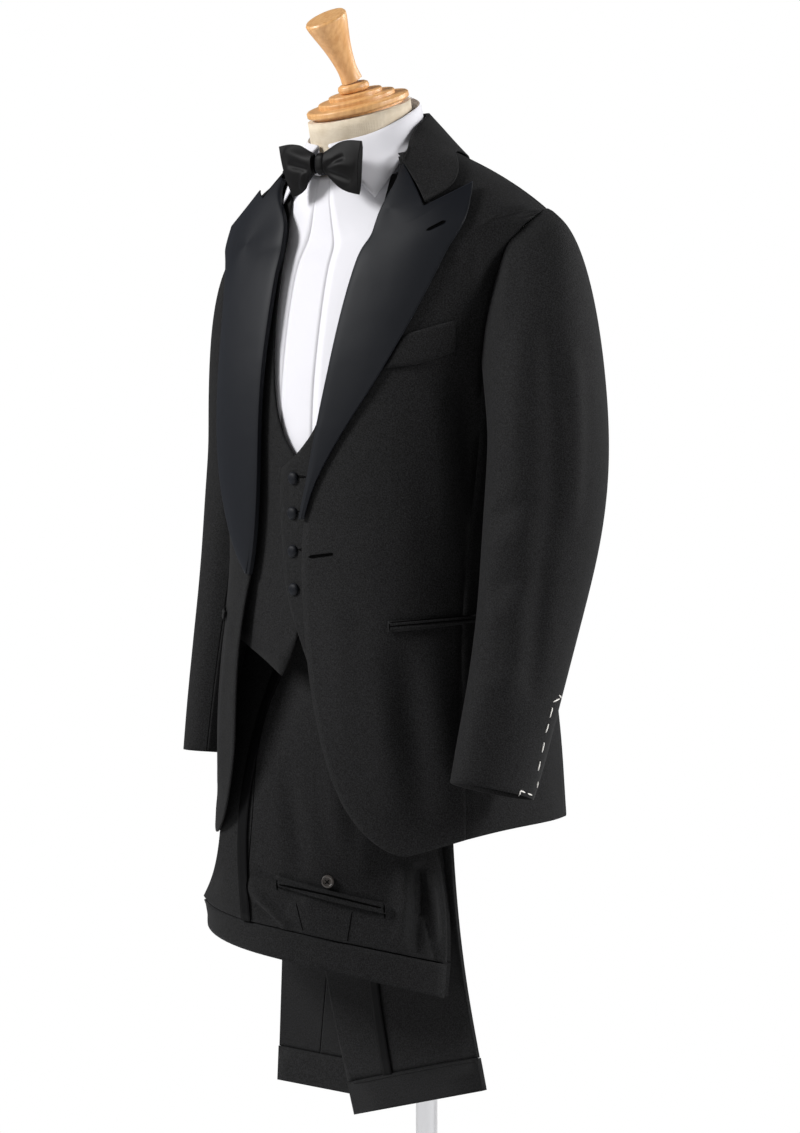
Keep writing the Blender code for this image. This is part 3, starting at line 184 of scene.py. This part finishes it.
def dress(node, look, levels=2, shaped=None, close=0.0, hold=HELD_EDGE):
    """A finer piece on a node's solid: triangles are joined to quads, edges past the held angle stay and
    the rest is rounded by subdivision, then a function of place moves every point."""
    work = bmesh.new()
    work.from_mesh(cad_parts[node].data)
    bmesh.ops.remove_doubles(work, verts=work.verts, dist=MERGE)
    bmesh.ops.join_triangles(
        work, faces=work.faces, angle_face_threshold=FLAT_QUAD, angle_shape_threshold=math.pi
    )
    if close:
        sewn_up(work, close)
    held = work.edges.layers.float.new("crease_edge")
    for edge in work.edges:
        edge[held] = float(edge.calc_face_angle(0) > hold)
    corner = work.verts.layers.float.new("crease_vert")
    for vert in work.verts:
        vert[corner] = float(sum(edge[held] for edge in vert.link_edges) > 2)
    mesh = bpy.data.meshes.new(node)
    work.to_mesh(mesh)
    work.free()
    rough = bpy.data.objects.new(node + "_rough", mesh)
    bpy.context.scene.collection.objects.link(rough)
    rounding = rough.modifiers.new("rounding", "SUBSURF")
    rounding.levels = rounding.render_levels = levels
    graph = bpy.context.evaluated_depsgraph_get()
    fine = bpy.data.meshes.new_from_object(rough.evaluated_get(graph))
    bpy.data.objects.remove(rough)
    if shaped:
        points = np.empty(len(fine.vertices) * 3)
        fine.vertices.foreach_get("co", points)
        fine.vertices.foreach_set("co", shaped(points.reshape(-1, 3)).ravel())
    fine.materials.clear()
    fine.materials.append(look)
    fine.shade_smooth()
    fine.set_sharp_from_angle(angle=hold)
    piece = bpy.data.objects.new(node + "_finished", fine)
    bpy.context.scene.collection.objects.link(piece)
    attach(piece, "root")
    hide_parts(node)
    return piece


# Linen: plain-woven flax, slightly slubbed, dull. Its threads are drawn 1.6 mm apart, coarser than real.
linen, shader = surface("unbleached_linen", Base_Color=linear(LINEN), Roughness=0.88, Sheen_Weight=0.15)
place = add(linen, "ShaderNodeTexCoord").outputs["Object"]
slub = add(linen, "ShaderNodeTexNoise", {"Vector": place, "Scale": 90.0, "Detail": 4.0})
warp = add(
    linen, "ShaderNodeTexWave",
    {"Vector": place, "Scale": BAND_SPACING / LINEN_THREAD, "Distortion": 1.2}, bands_direction="X",
)
weft = add(
    linen, "ShaderNodeTexWave",
    {"Vector": place, "Scale": BAND_SPACING / LINEN_THREAD, "Distortion": 1.2}, bands_direction="Z",
)
woven = add(linen, "ShaderNodeMath", {0: warp.outputs["Fac"], 1: weft.outputs["Fac"]}, operation="MAXIMUM")
tint = add(linen, "ShaderNodeValToRGB", {"Fac": slub.outputs["Fac"]})
tint.color_ramp.elements[0].color = linear(LINEN_SHADE)
tint.color_ramp.elements[1].color = linear(LINEN_LIGHT)
bump = add(linen, "ShaderNodeBump", {"Height": woven.outputs[0], "Strength": 0.35, "Distance": 0.0006})
linen.node_tree.links.new(tint.outputs["Color"], shader.inputs["Base Color"])
linen.node_tree.links.new(bump.outputs["Normal"], shader.inputs["Normal"])

# Beech: straight, fine-grained and turned, under a clear lacquer that gives a soft highlight.
beech, shader = surface("lacquered_beech", Roughness=0.42, Coat_Weight=0.2, Coat_Roughness=0.25)
place = add(beech, "ShaderNodeTexCoord").outputs["Object"]
stretched = add(beech, "ShaderNodeMapping", {"Vector": place, "Scale": (140.0, 140.0, 16.0)})
grain = add(beech, "ShaderNodeTexNoise", {"Vector": stretched.outputs[0], "Scale": 1.6, "Detail": 5.0})
tint = add(beech, "ShaderNodeValToRGB", {"Fac": grain.outputs["Fac"]})
tint.color_ramp.elements[0].position, tint.color_ramp.elements[0].color = 0.34, linear(BEECH_GRAIN)
tint.color_ramp.elements[1].position, tint.color_ramp.elements[1].color = 0.62, linear(BEECH)
bump = add(beech, "ShaderNodeBump", {"Height": grain.outputs["Fac"], "Strength": 0.10, "Distance": 0.0004})
beech.node_tree.links.new(tint.outputs["Color"], shader.inputs["Base Color"])
beech.node_tree.links.new(bump.outputs["Normal"], shader.inputs["Normal"])

# Steel tube, brushed along its length, and the cast base in a fine powder coat.
steel, shader = surface("brushed_steel", Base_Color=linear(STEEL), Metallic=1.0, Roughness=0.32)
place = add(steel, "ShaderNodeTexCoord").outputs["Object"]
stretched = add(steel, "ShaderNodeMapping", {"Vector": place, "Scale": (900.0, 900.0, 12.0)})
brushed = add(steel, "ShaderNodeTexNoise", {"Vector": stretched.outputs[0], "Scale": 1.0, "Detail": 3.0})
bump = add(
    steel, "ShaderNodeBump", {"Height": brushed.outputs["Fac"], "Strength": 0.12, "Distance": 0.0002}
)
steel.node_tree.links.new(bump.outputs["Normal"], shader.inputs["Normal"])
powder, shader = surface("powder_coat", Base_Color=linear(PAINT), Roughness=0.55)
place = add(powder, "ShaderNodeTexCoord").outputs["Object"]
orange_peel = add(powder, "ShaderNodeTexNoise", {"Vector": place, "Scale": 700.0, "Detail": 2.0})
bump = add(
    powder, "ShaderNodeBump", {"Height": orange_peel.outputs["Fac"], "Strength": 0.2, "Distance": 0.0003}
)
powder.node_tree.links.new(bump.outputs["Normal"], shader.inputs["Normal"])

dress("form_torso", linen)
for node in ("neck_discs", "knob_ring", "handle"):
    dress(node, beech, hold=TURNED_EDGE)
for node in ("pole", "trouser_bar"):
    dress(node, steel, levels=1)
dress("base", powder, levels=1)


# Creases and cloth cuts
# Cloth pieces carry the folds that wear and hanging leave. Each fold is laid as a soft line over the
# photograph, and each piece's cut edges are let out to close its seams.

# How much of a half wave a crease's height leaves out at each end, and the power that flattens it
CREASE_ENDS, CREASE_SOFTNESS = 0.1, 0.7


def solid_tree(*nodes):
    """The nodes' solids as one tree that a line of sight can meet."""
    points, faces = [], []
    for node in nodes:
        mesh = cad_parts[node].data
        faces += [[v + len(points) for v in face.vertices] for face in mesh.polygons]
        points += [v.co.copy() for v in mesh.vertices]
    return BVHTree.FromPolygons(points, faces)


def seen(tree, x, y):
    """Where the camera's line through a pixel of the photograph meets a tree, and the way out there."""
    way = AHEAD * FOCAL + RIGHT * (x - PHOTO_WIDTH / 2) + UP * (PHOTO_HEIGHT / 2 - y)
    place, out, _, _ = tree.ray_cast(LENS_AT, way.normalized())
    if place is None:
        raise ValueError("nothing is seen at pixel %g, %g" % (x, y))
    return np.array(place), np.array(out)


def creases(tree, rows):
    """Creases from the photograph's pixels: start x and y, end x and y, width and height, in metres."""
    laid = []
    for x0, y0, x1, y1, width, height in rows:
        start, out = seen(tree, x0, y0)
        end, _ = seen(tree, x1, y1)
        laid.append((start, end, width, height, out))
    return laid


def turned_over(laid):
    """The same creases on the wearer's other side."""
    flip = np.array([-1.0, 1.0, 1.0])
    return [
        (start * flip, end * flip, width, height, out * flip) for start, end, width, height, out in laid
    ]


def creased(laid):
    """A function that lifts points by height times exp(-(distance / width)^2), fading towards both ends."""

    def shaped(points):
        moved = points.copy()
        for start, end, width, height, out in laid:
            run = end - start
            share = (points - start) @ run / (run @ run)
            near = start + np.clip(share, 0, 1)[:, None] * run
            distance = np.linalg.norm(points - near, axis=1)
            faded = np.clip(share * (1 - 2 * CREASE_ENDS) + CREASE_ENDS, 0, 1)
            fade = np.sin(math.pi * faded) ** CREASE_SOFTNESS
            moved += (height * fade * np.exp(-((distance / width) ** 2)))[:, None] * out
        return moved

    return shaped


def cloth(node, look, levels=2, laid=()):
    """A node's solid dressed as cloth, with its creases laid and its cut edges let out to close the seams.
    A dressed piece declared as a sheet: its flat area is half its solid's surface, or its width times its
    length where that is less.
    """
    piece = dress(node, look, levels, creased(laid) if laid else None, SEAM_OVERLAP)


def finished_tree(*nodes):
    """The dressed pieces of these nodes as one tree, so that a thread lies on the finished cloth."""
    points, faces = [], []
    for node in nodes:
        mesh = bpy.data.objects[node + "_finished"].data
        faces += [[v + len(points) for v in face.vertices] for face in mesh.polygons]
        points += [v.co.copy() for v in mesh.vertices]
    return BVHTree.FromPolygons(points, faces)


THREAD_SIDES, THREAD_TAPER = 8, 0.55


def thread(name, look, tree, lines, half, raised=0.0, step=3.0):
    """Rounded threads on a tree: each line is a row of the photograph's pixels and step their spacing, half
    is the thread's half width in metres and raised how far its middle stands above the cloth."""
    work = bmesh.new()
    for line in lines:
        pixels = np.array(line, float)
        runs = np.linalg.norm(np.diff(pixels, axis=0), axis=1)
        at = np.concatenate([[0], np.cumsum(runs)])
        count = max(int(at[-1] / step) + 1, 3)
        spots = np.linspace(0, at[-1], count)
        places = [seen(tree, np.interp(s, at, pixels[:, 0]), np.interp(s, at, pixels[:, 1])) for s in spots]
        middle = np.array([place + out * raised for place, out in places])
        rings = []
        for number, (place, (_, out)) in enumerate(zip(middle, places)):
            along = middle[min(number + 1, count - 1)] - middle[max(number - 1, 0)]
            along = along / np.linalg.norm(along)
            beside = np.cross(along, out)
            beside = beside / np.linalg.norm(beside)
            above = np.cross(beside, along)
            size = half * (THREAD_TAPER if number in (0, count - 1) else 1.0)
            turns = [2 * math.pi * corner / THREAD_SIDES for corner in range(THREAD_SIDES)]
            spokes = [size * (beside * math.cos(turn) + above * math.sin(turn)) for turn in turns]
            rings.append([work.verts.new(place + spoke) for spoke in spokes])
        for ring, following in zip(rings, rings[1:]):
            for corner in range(THREAD_SIDES):
                other = (corner + 1) % THREAD_SIDES
                work.faces.new((ring[corner], ring[other], following[other], following[corner]))
        work.faces.new(rings[0][::-1])
        work.faces.new(rings[-1])
    bmesh.ops.recalc_face_normals(work, faces=work.faces)
    mesh = bpy.data.meshes.new(name)
    work.to_mesh(mesh)
    work.free()
    mesh.materials.append(look)
    mesh.shade_smooth()
    piece = bpy.data.objects.new(name, mesh)
    bpy.context.scene.collection.objects.link(piece)
    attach(piece, "root")


# A worked buttonhole's width in pixels and, as shares of it, its eye's place and fullness and its two ends
HOLE_WIDE, HOLE_EYE, HOLE_FULL, HOLE_TIP, HOLE_BACK = 1.2, 0.6, 1.5, 0.4, 0.3


def buttonhole(x0, y0, x1, y1):
    """A worked buttonhole's stitched rim as one closed row of pixels, rounder at its first end."""
    start, end = np.array([x0, y0]), np.array([x1, y1])
    along = (end - start) / np.linalg.norm(end - start)
    beside = np.array([-along[1], along[0]]) * HOLE_WIDE / 2
    eye = start + along * HOLE_WIDE * HOLE_EYE
    back = start - along * HOLE_WIDE * HOLE_BACK
    tip = end + along * HOLE_WIDE * HOLE_TIP
    return [back, eye + beside * HOLE_FULL, end + beside, tip, end - beside, eye - beside * HOLE_FULL, back]


# Shirt
# White cotton poplin with a turned-down collar and a placket, and no sleeves under the jacket. The fronts
# are pressed smooth and hardly ripple.

POPLIN, POPLIN_THREAD = "#d6d5da", 0.0011

# Poplin: fine, even and matt, mercerised enough to look clean. Threads are drawn 1.1 mm apart, not 0.2.
poplin, shader = surface("white_poplin", Base_Color=linear(POPLIN), Roughness=0.78, Sheen_Weight=0.1)
place = add(poplin, "ShaderNodeTexCoord").outputs["Object"]
ribs = add(
    poplin, "ShaderNodeTexWave",
    {"Vector": place, "Scale": BAND_SPACING / POPLIN_THREAD, "Distortion": 0.6}, bands_direction="Z",
)
cockle = add(poplin, "ShaderNodeTexNoise", {"Vector": place, "Scale": 24.0, "Detail": 2.0})
coarse = add(
    poplin, "ShaderNodeBump", {"Height": cockle.outputs["Fac"], "Strength": 0.25, "Distance": 0.004}
)
fine = add(
    poplin, "ShaderNodeBump",
    {
        "Height": ribs.outputs["Fac"], "Strength": 0.12, "Distance": 0.0003,
        "Normal": coarse.outputs["Normal"],
    },
)
poplin.node_tree.links.new(fine.outputs["Normal"], shader.inputs["Normal"])

for node in ("shirt_front_left", "shirt_front_right", "shirt_placket", "shirt_back", "shirt_collar"):
    cloth(node, poplin)


# Waistcoat
# Black barathea with a low V and pointed fronts. It closes with four buttons covered in satin, and the
# upper three show their worked buttonholes.

BUTTON_PLUMP = 1.18
WOOL, WOOL_PILE, WOOL_BLOOM = "#0a0a0a", "#222223", "#b8b8ba"
SATIN, SATIN_SHEEN, SATIN_THREAD = "#0e1015", "#8f9fbd", 0.0012
# The twist's near-black is real thread in buttonholes and painted shade in seams and pocket openings
BRAID, TWIST_AND_SHADE_LINES = "#070708", "#020202"
WAISTCOAT_HOLES = ((297, 476.5, 306, 477), (298, 511.5, 307, 512), (298, 549.5, 307, 550))

# Barathea: a broken-rib worsted, matt with a faint grey bloom. Its grain is drawn 1.2 mm wide, not 0.7.
wool, shader = surface(
    "black_barathea", Roughness=0.78, Sheen_Weight=0.03, Sheen_Roughness=0.5, Sheen_Tint=linear(WOOL_BLOOM),
    Specular_IOR_Level=0.11,
)
place = add(wool, "ShaderNodeTexCoord").outputs["Object"]
cloud = add(wool, "ShaderNodeTexNoise", {"Vector": place, "Scale": 820.0, "Detail": 2.0})
tint = add(wool, "ShaderNodeValToRGB", {"Fac": cloud.outputs["Fac"]})
tint.color_ramp.elements[0].position, tint.color_ramp.elements[0].color = 0.35, linear(WOOL)
tint.color_ramp.elements[1].position, tint.color_ramp.elements[1].color = 0.70, linear(WOOL_PILE)
rumple = add(wool, "ShaderNodeTexNoise", {"Vector": place, "Scale": 9.0, "Detail": 2.0})
coarse = add(wool, "ShaderNodeBump", {"Height": rumple.outputs["Fac"], "Strength": 0.30, "Distance": 0.012})
fine = add(
    wool, "ShaderNodeBump",
    {
        "Height": cloud.outputs["Fac"], "Strength": 0.4, "Distance": 0.0005,
        "Normal": coarse.outputs["Normal"],
    },
)
wool.node_tree.links.new(tint.outputs["Color"], shader.inputs["Base Color"])
wool.node_tree.links.new(fine.outputs["Normal"], shader.inputs["Normal"])

# Silk satin: long floats that shine one way, cooler and smoother than the wool.
satin, shader = surface(
    "black_silk_satin", Base_Color=linear(SATIN), Roughness=0.56, Sheen_Weight=0.05, Sheen_Roughness=0.4,
    Sheen_Tint=linear(SATIN_SHEEN), Anisotropic=0.3, Specular_IOR_Level=0.16,
)
place = add(satin, "ShaderNodeTexCoord").outputs["Object"]
floats = add(
    satin, "ShaderNodeTexWave",
    {"Vector": place, "Scale": BAND_SPACING / SATIN_THREAD, "Distortion": 1.5}, bands_direction="X",
)
ripple = add(satin, "ShaderNodeTexNoise", {"Vector": place, "Scale": 14.0, "Detail": 2.0})
coarse = add(
    satin, "ShaderNodeBump", {"Height": ripple.outputs["Fac"], "Strength": 0.22, "Distance": 0.006}
)
fine = add(
    satin, "ShaderNodeBump",
    {
        "Height": floats.outputs["Fac"], "Strength": 0.08, "Distance": 0.0002,
        "Normal": coarse.outputs["Normal"],
    },
)
satin.node_tree.links.new(fine.outputs["Normal"], shader.inputs["Normal"])

# The trousers' stripe is the same satin seen across its floats, so it looks duller and blacker.
braid = satin.copy()
braid.name = "black_satin_braid"
shader = braid.node_tree.nodes["Principled BSDF"]
shader.inputs["Specular IOR Level"].default_value = 0.08
shader.inputs["Sheen Weight"].default_value = 0.0
shader.inputs["Roughness"].default_value = 0.6
shader.inputs["Base Color"].default_value = linear(BRAID)

for node in ("waistcoat_front_left", "waistcoat_front_right", "waistcoat_back"):
    cloth(node, wool)


def plumped(points):
    """A fuller button: every point moved away from its middle by the same factor."""
    middle = (points.min(axis=0) + points.max(axis=0)) / 2
    return middle + (points - middle) * BUTTON_PLUMP


for number in (1, 2, 3, 4):
    dress("waistcoat_button_%d" % number, satin, shaped=plumped)

# Silk twist: a corded black sewing thread that takes hardly any light, for buttonholes and tacks.
# Along seams and pocket edges the same near-black thread is painted shade, where shade falls in the grooves.
twist_and_shade_lines, shader = surface(
    "black_silk_twist_and_painted_shade", Base_Color=linear(TWIST_AND_SHADE_LINES), Roughness=0.9, Specular_IOR_Level=0.03
)
place = add(twist_and_shade_lines, "ShaderNodeTexCoord").outputs["Object"]
ply = add(
    twist_and_shade_lines, "ShaderNodeTexWave", {"Vector": place, "Scale": 420.0, "Distortion": 0.5},
    bands_direction="DIAGONAL",
)
bump = add(twist_and_shade_lines, "ShaderNodeBump", {"Height": ply.outputs["Fac"], "Strength": 0.4, "Distance": 0.0002})
twist_and_shade_lines.node_tree.links.new(bump.outputs["Normal"], shader.inputs["Normal"])
closing = finished_tree("waistcoat_front_left", "waistcoat_front_right")
thread(
    "waistcoat_buttonholes", twist_and_shade_lines, closing, [buttonhole(*hole) for hole in WAISTCOAT_HOLES],
    half=0.0005, raised=0.0002,
)


# Trousers
# Wool trousers with turn-ups, doubled lengthwise and hung over the bar with the waist in front. A satin
# stripe covers each side seam, and the back has a jetted pocket with a horn button.

trouser_solids = solid_tree("trouser_back_right", "trouser_front_right")
TROUSER_CREASES = (
    (248, 884, 286, 926, 0.0070, 0.0065),
    (259, 874, 300, 899, 0.0055, -0.0050),
    (257, 906, 279, 926, 0.0045, -0.0050),
    (292, 912, 345, 938, 0.0110, 0.0040),
    (330, 760, 345, 850, 0.0150, 0.0045),
    (286, 770, 300, 868, 0.0130, -0.0040),
    (372, 800, 362, 872, 0.0120, 0.0040),
    (404, 872, 401, 940, 0.0090, 0.0090),
    (420, 868, 421, 912, 0.0050, -0.0140),
    (420, 908, 417, 950, 0.0050, -0.0070),
    (430, 876, 435, 940, 0.0060, 0.0080),
    (424, 912, 436, 960, 0.0022, -0.0040),
    (275, 690, 262, 760, 0.0100, 0.0030),
)
# Threads as rows of the photograph's pixels: two darts and the side pocket, partly stitching and partly
# painted shade, painted shade in the slit between the back pocket's jets, the near turn-up's edge, the tacks
# at the pocket's ends and the cross that holds the button
DART_SEAMS_AND_POCKET_SHADE = (
    ((296, 903), (303, 931)), ((352, 912), (347, 944)), ((256, 762), (252, 820), (247.5, 879)),
)
BACK_POCKET_SLIT_SHADE = (((279, 884.5), (330, 895.5), (381, 908)),)
TURN_UP_EDGE = (((352, 1083.2), (411, 1071.2), (440, 1065.6), (480.3, 1059.2)),)
BAR_TACKS = (((384, 905), (385, 918)), ((277, 880), (277, 890)))
BUTTON_CROSS = (((325, 880), (329, 884)), ((329, 880), (325, 884)))
HORN, HORN_STREAK = "#1d1b1a", "#4c4743"
on_trousers = creases(trouser_solids, TROUSER_CREASES)
for side in ("left", "right"):
    laid = on_trousers if side == "right" else ()
    for node in ("trouser_front_", "trouser_back_"):
        cloth(node + side, wool, levels=4 if laid else 3, laid=laid)
    for node in ("waistband_", "turn_up_"):
        cloth(node + side, wool)
    cloth("satin_stripe_" + side, braid, laid=laid)
cloth("back_pocket", wool, laid=on_trousers)

waist = finished_tree(
    "trouser_back_right", "trouser_front_right", "waistband_right", "back_pocket", "trouser_back_left",
    "trouser_front_left", "waistband_left", "turn_up_right", "turn_up_left", "satin_stripe_right",
)
near_leg = finished_tree("turn_up_left", "trouser_back_left", "trouser_front_left")
# Dart seams and the side pocket's opening: near-black thread, partly stitching and partly painted shade.
thread("trouser_seams_and_shade", twist_and_shade_lines, waist, DART_SEAMS_AND_POCKET_SHADE, half=0.0005)
# The back pocket's slit is painted shade: a thick near-black thread sunk a little into the cloth.
thread("back_pocket_slit_shade", twist_and_shade_lines, waist, BACK_POCKET_SLIT_SHADE, half=0.0011, raised=-0.0002)
thread("turn_up_seam", wool, near_leg, TURN_UP_EDGE, half=0.0023, raised=-0.0010)
thread("pocket_bar_tacks", twist_and_shade_lines, waist, BAR_TACKS, half=0.0009, raised=0.0003)

# Horn: polished, near black with paler streaks.
horn, shader = surface("dark_horn", Roughness=0.30)
place = add(horn, "ShaderNodeTexCoord").outputs["Object"]
streaks = add(horn, "ShaderNodeTexNoise", {"Vector": place, "Scale": 260.0, "Detail": 4.0})
tint = add(horn, "ShaderNodeValToRGB", {"Fac": streaks.outputs["Fac"]})
tint.color_ramp.elements[0].color = linear(HORN)
tint.color_ramp.elements[1].color = linear(HORN_STREAK)
horn.node_tree.links.new(tint.outputs["Color"], shader.inputs["Base Color"])
dress("back_pocket_button", horn, shaped=plumped)
button = finished_tree("back_pocket_button")
thread("button_thread", twist_and_shade_lines, button, BUTTON_CROSS, half=0.0005, raised=0.0002, step=1.0)


# Jacket
# Peaked satin lapels laid on black barathea fronts, a collar in the same wool, a breast welt and jetted hip
# pockets. The body and its two-piece sleeves hang in long soft folds.

body_solids = solid_tree(
    "jacket_front_left", "jacket_side_left", "jacket_back_left", "top_sleeve_left", "under_sleeve_left",
)
SLEEVE_CREASES = (
    (549, 330, 551, 520, 0.0110, -0.0060),
    (551, 520, 533, 690, 0.0110, -0.0050),
    (522, 330, 523, 520, 0.0170, 0.0045),
    (523, 520, 508, 700, 0.0160, 0.0045),
    (574, 360, 572, 520, 0.0120, 0.0045),
    (492, 520, 536, 496, 0.0100, -0.0045),
    (494, 548, 540, 530, 0.0110, 0.0050),
    (492, 590, 538, 566, 0.0100, -0.0045),
    (488, 622, 536, 602, 0.0120, 0.0045),
    (482, 690, 520, 674, 0.0120, 0.0035),
    (512, 240, 503, 330, 0.0100, 0.0035),
)
BODY_CREASES = (
    (440, 400, 455, 560, 0.0200, 0.0055),
    (466, 390, 474, 530, 0.0120, -0.0050),
    (372, 640, 396, 800, 0.0220, 0.0045),
    (402, 650, 420, 815, 0.0170, -0.0045),
    (436, 650, 454, 815, 0.0220, 0.0050),
    (462, 235, 480, 300, 0.0140, 0.0040),
    (330, 600, 352, 740, 0.0200, 0.0035),
    (350, 560, 440, 520, 0.0160, 0.0025),
)
# Stitching, and the painted shade at the hip pocket's jets, as rows of the photograph's pixels
LAPEL_HOLE, FRONT_HOLE = (445, 221, 427, 230), (309, 557, 333, 554)
HIP_POCKET_EDGE_SHADE = (((390, 622.5), (472, 615.5)), ((390, 626.5), (472, 619.0)), ((389, 621), (389.5, 631)))
BASTING_STITCHES = (
    ((519.0, 796), (520.2, 790.5), (524.6, 792.4)),
    ((527.6, 793.4), (531.5, 795)),
    ((536.8, 787.4), (537.7, 781.5)),
    ((537.7, 770.6), (539.9, 761.4)),
    ((541.7, 752.2), (543.9, 742.6)),
    ((545.5, 732.5), (548.2, 724.0)),
    ((549.6, 717.3), (552.2, 707.7)),
    ((553.1, 701.8), (559.1, 698.7)),
    ((559, 695), (561, 697.7)),
)
BASTING = "#e9e6e0"
sleeve_left = creases(body_solids, SLEEVE_CREASES)
body_left = creases(body_solids, BODY_CREASES)
for side in ("left", "right"):
    sleeve = sleeve_left if side == "left" else turned_over(sleeve_left)
    torso = body_left if side == "left" else turned_over(body_left)
    for node in ("jacket_front_", "jacket_side_", "jacket_back_", "hip_pocket_"):
        cloth(node + side, wool, laid=torso)
    for node in ("top_sleeve_", "under_sleeve_"):
        cloth(node + side, wool, levels=3, laid=sleeve)
    cloth("lapel_" + side, satin, levels=3)
cloth("breast_welt", wool)
cloth("jacket_collar", wool, levels=3)

# Worked buttonholes at the lapel and the front, and near-black lines at the hip pocket's jets that are
# partly stitching and partly painted shade in their seams and slit
lapel = finished_tree("lapel_left")
front = finished_tree("jacket_front_left", "jacket_side_left", "hip_pocket_left", "breast_welt")
thread(
    "lapel_buttonhole", twist_and_shade_lines, lapel, [buttonhole(*LAPEL_HOLE)], half=0.0008, raised=0.0003
)
thread("hip_pocket_jet_shade", twist_and_shade_lines, front, HIP_POCKET_EDGE_SHADE, half=0.0005, raised=0.0001)
thread(
    "front_buttonhole", twist_and_shade_lines, front, [buttonhole(*FRONT_HOLE)], half=0.0008, raised=0.0003
)

# Basting: long soft white cotton stitches hold the cuff's unfinished vent, as on a suit between fittings.
basting, shader = surface(
    "white_basting_cotton", Base_Color=linear(BASTING), Roughness=0.85, Sheen_Weight=0.2
)
place = add(basting, "ShaderNodeTexCoord").outputs["Object"]
ply = add(
    basting, "ShaderNodeTexWave", {"Vector": place, "Scale": 500.0, "Distortion": 0.5},
    bands_direction="DIAGONAL",
)
bump = add(basting, "ShaderNodeBump", {"Height": ply.outputs["Fac"], "Strength": 0.5, "Distance": 0.0002})
basting.node_tree.links.new(bump.outputs["Normal"], shader.inputs["Normal"])
cuff = finished_tree("top_sleeve_left", "under_sleeve_left")
thread(
    "cuff_basting", basting, cuff, BASTING_STITCHES, half=0.0008, raised=0.0004, step=2.0
)


# Bow tie
# Black satin, tied in a soft knot with two layers to each wing, on a short band round the collar.

BOW_BLACK = "#080707"
BOW_CREASES = (
    (325, 167, 342, 157, 0.0034, -0.0028),
    (326, 171, 348, 180, 0.0032, -0.0026),
    (330, 163, 352, 166, 0.0050, 0.0016),
    (288, 165, 306, 169, 0.0034, -0.0028),
    (301, 188, 303, 173, 0.0034, 0.0020),
    (308, 186, 312, 172, 0.0030, -0.0026),
    (286, 152, 308, 160, 0.0050, 0.0016),
)

# The bow's silk is the same satin in a warmer, deeper black.
bow_silk = satin.copy()
bow_silk.name = "black_bow_silk"
shader = bow_silk.node_tree.nodes["Principled BSDF"]
shader.inputs["Base Color"].default_value = linear(BOW_BLACK)
shader.inputs["Specular IOR Level"].default_value = 0.12
bow = creases(solid_tree("bow_wing_left", "bow_wing_right"), BOW_CREASES)
for node in ("bow_wing_left", "bow_wing_right", "bow_back_wing_left", "bow_back_wing_right", "bow_knot"):
    wing = creased(bow) if node.startswith("bow_wing") else None
    finished = dress(node, bow_silk, levels=3 if wing else 2, shaped=wing)
dress("bow_band", bow_silk)
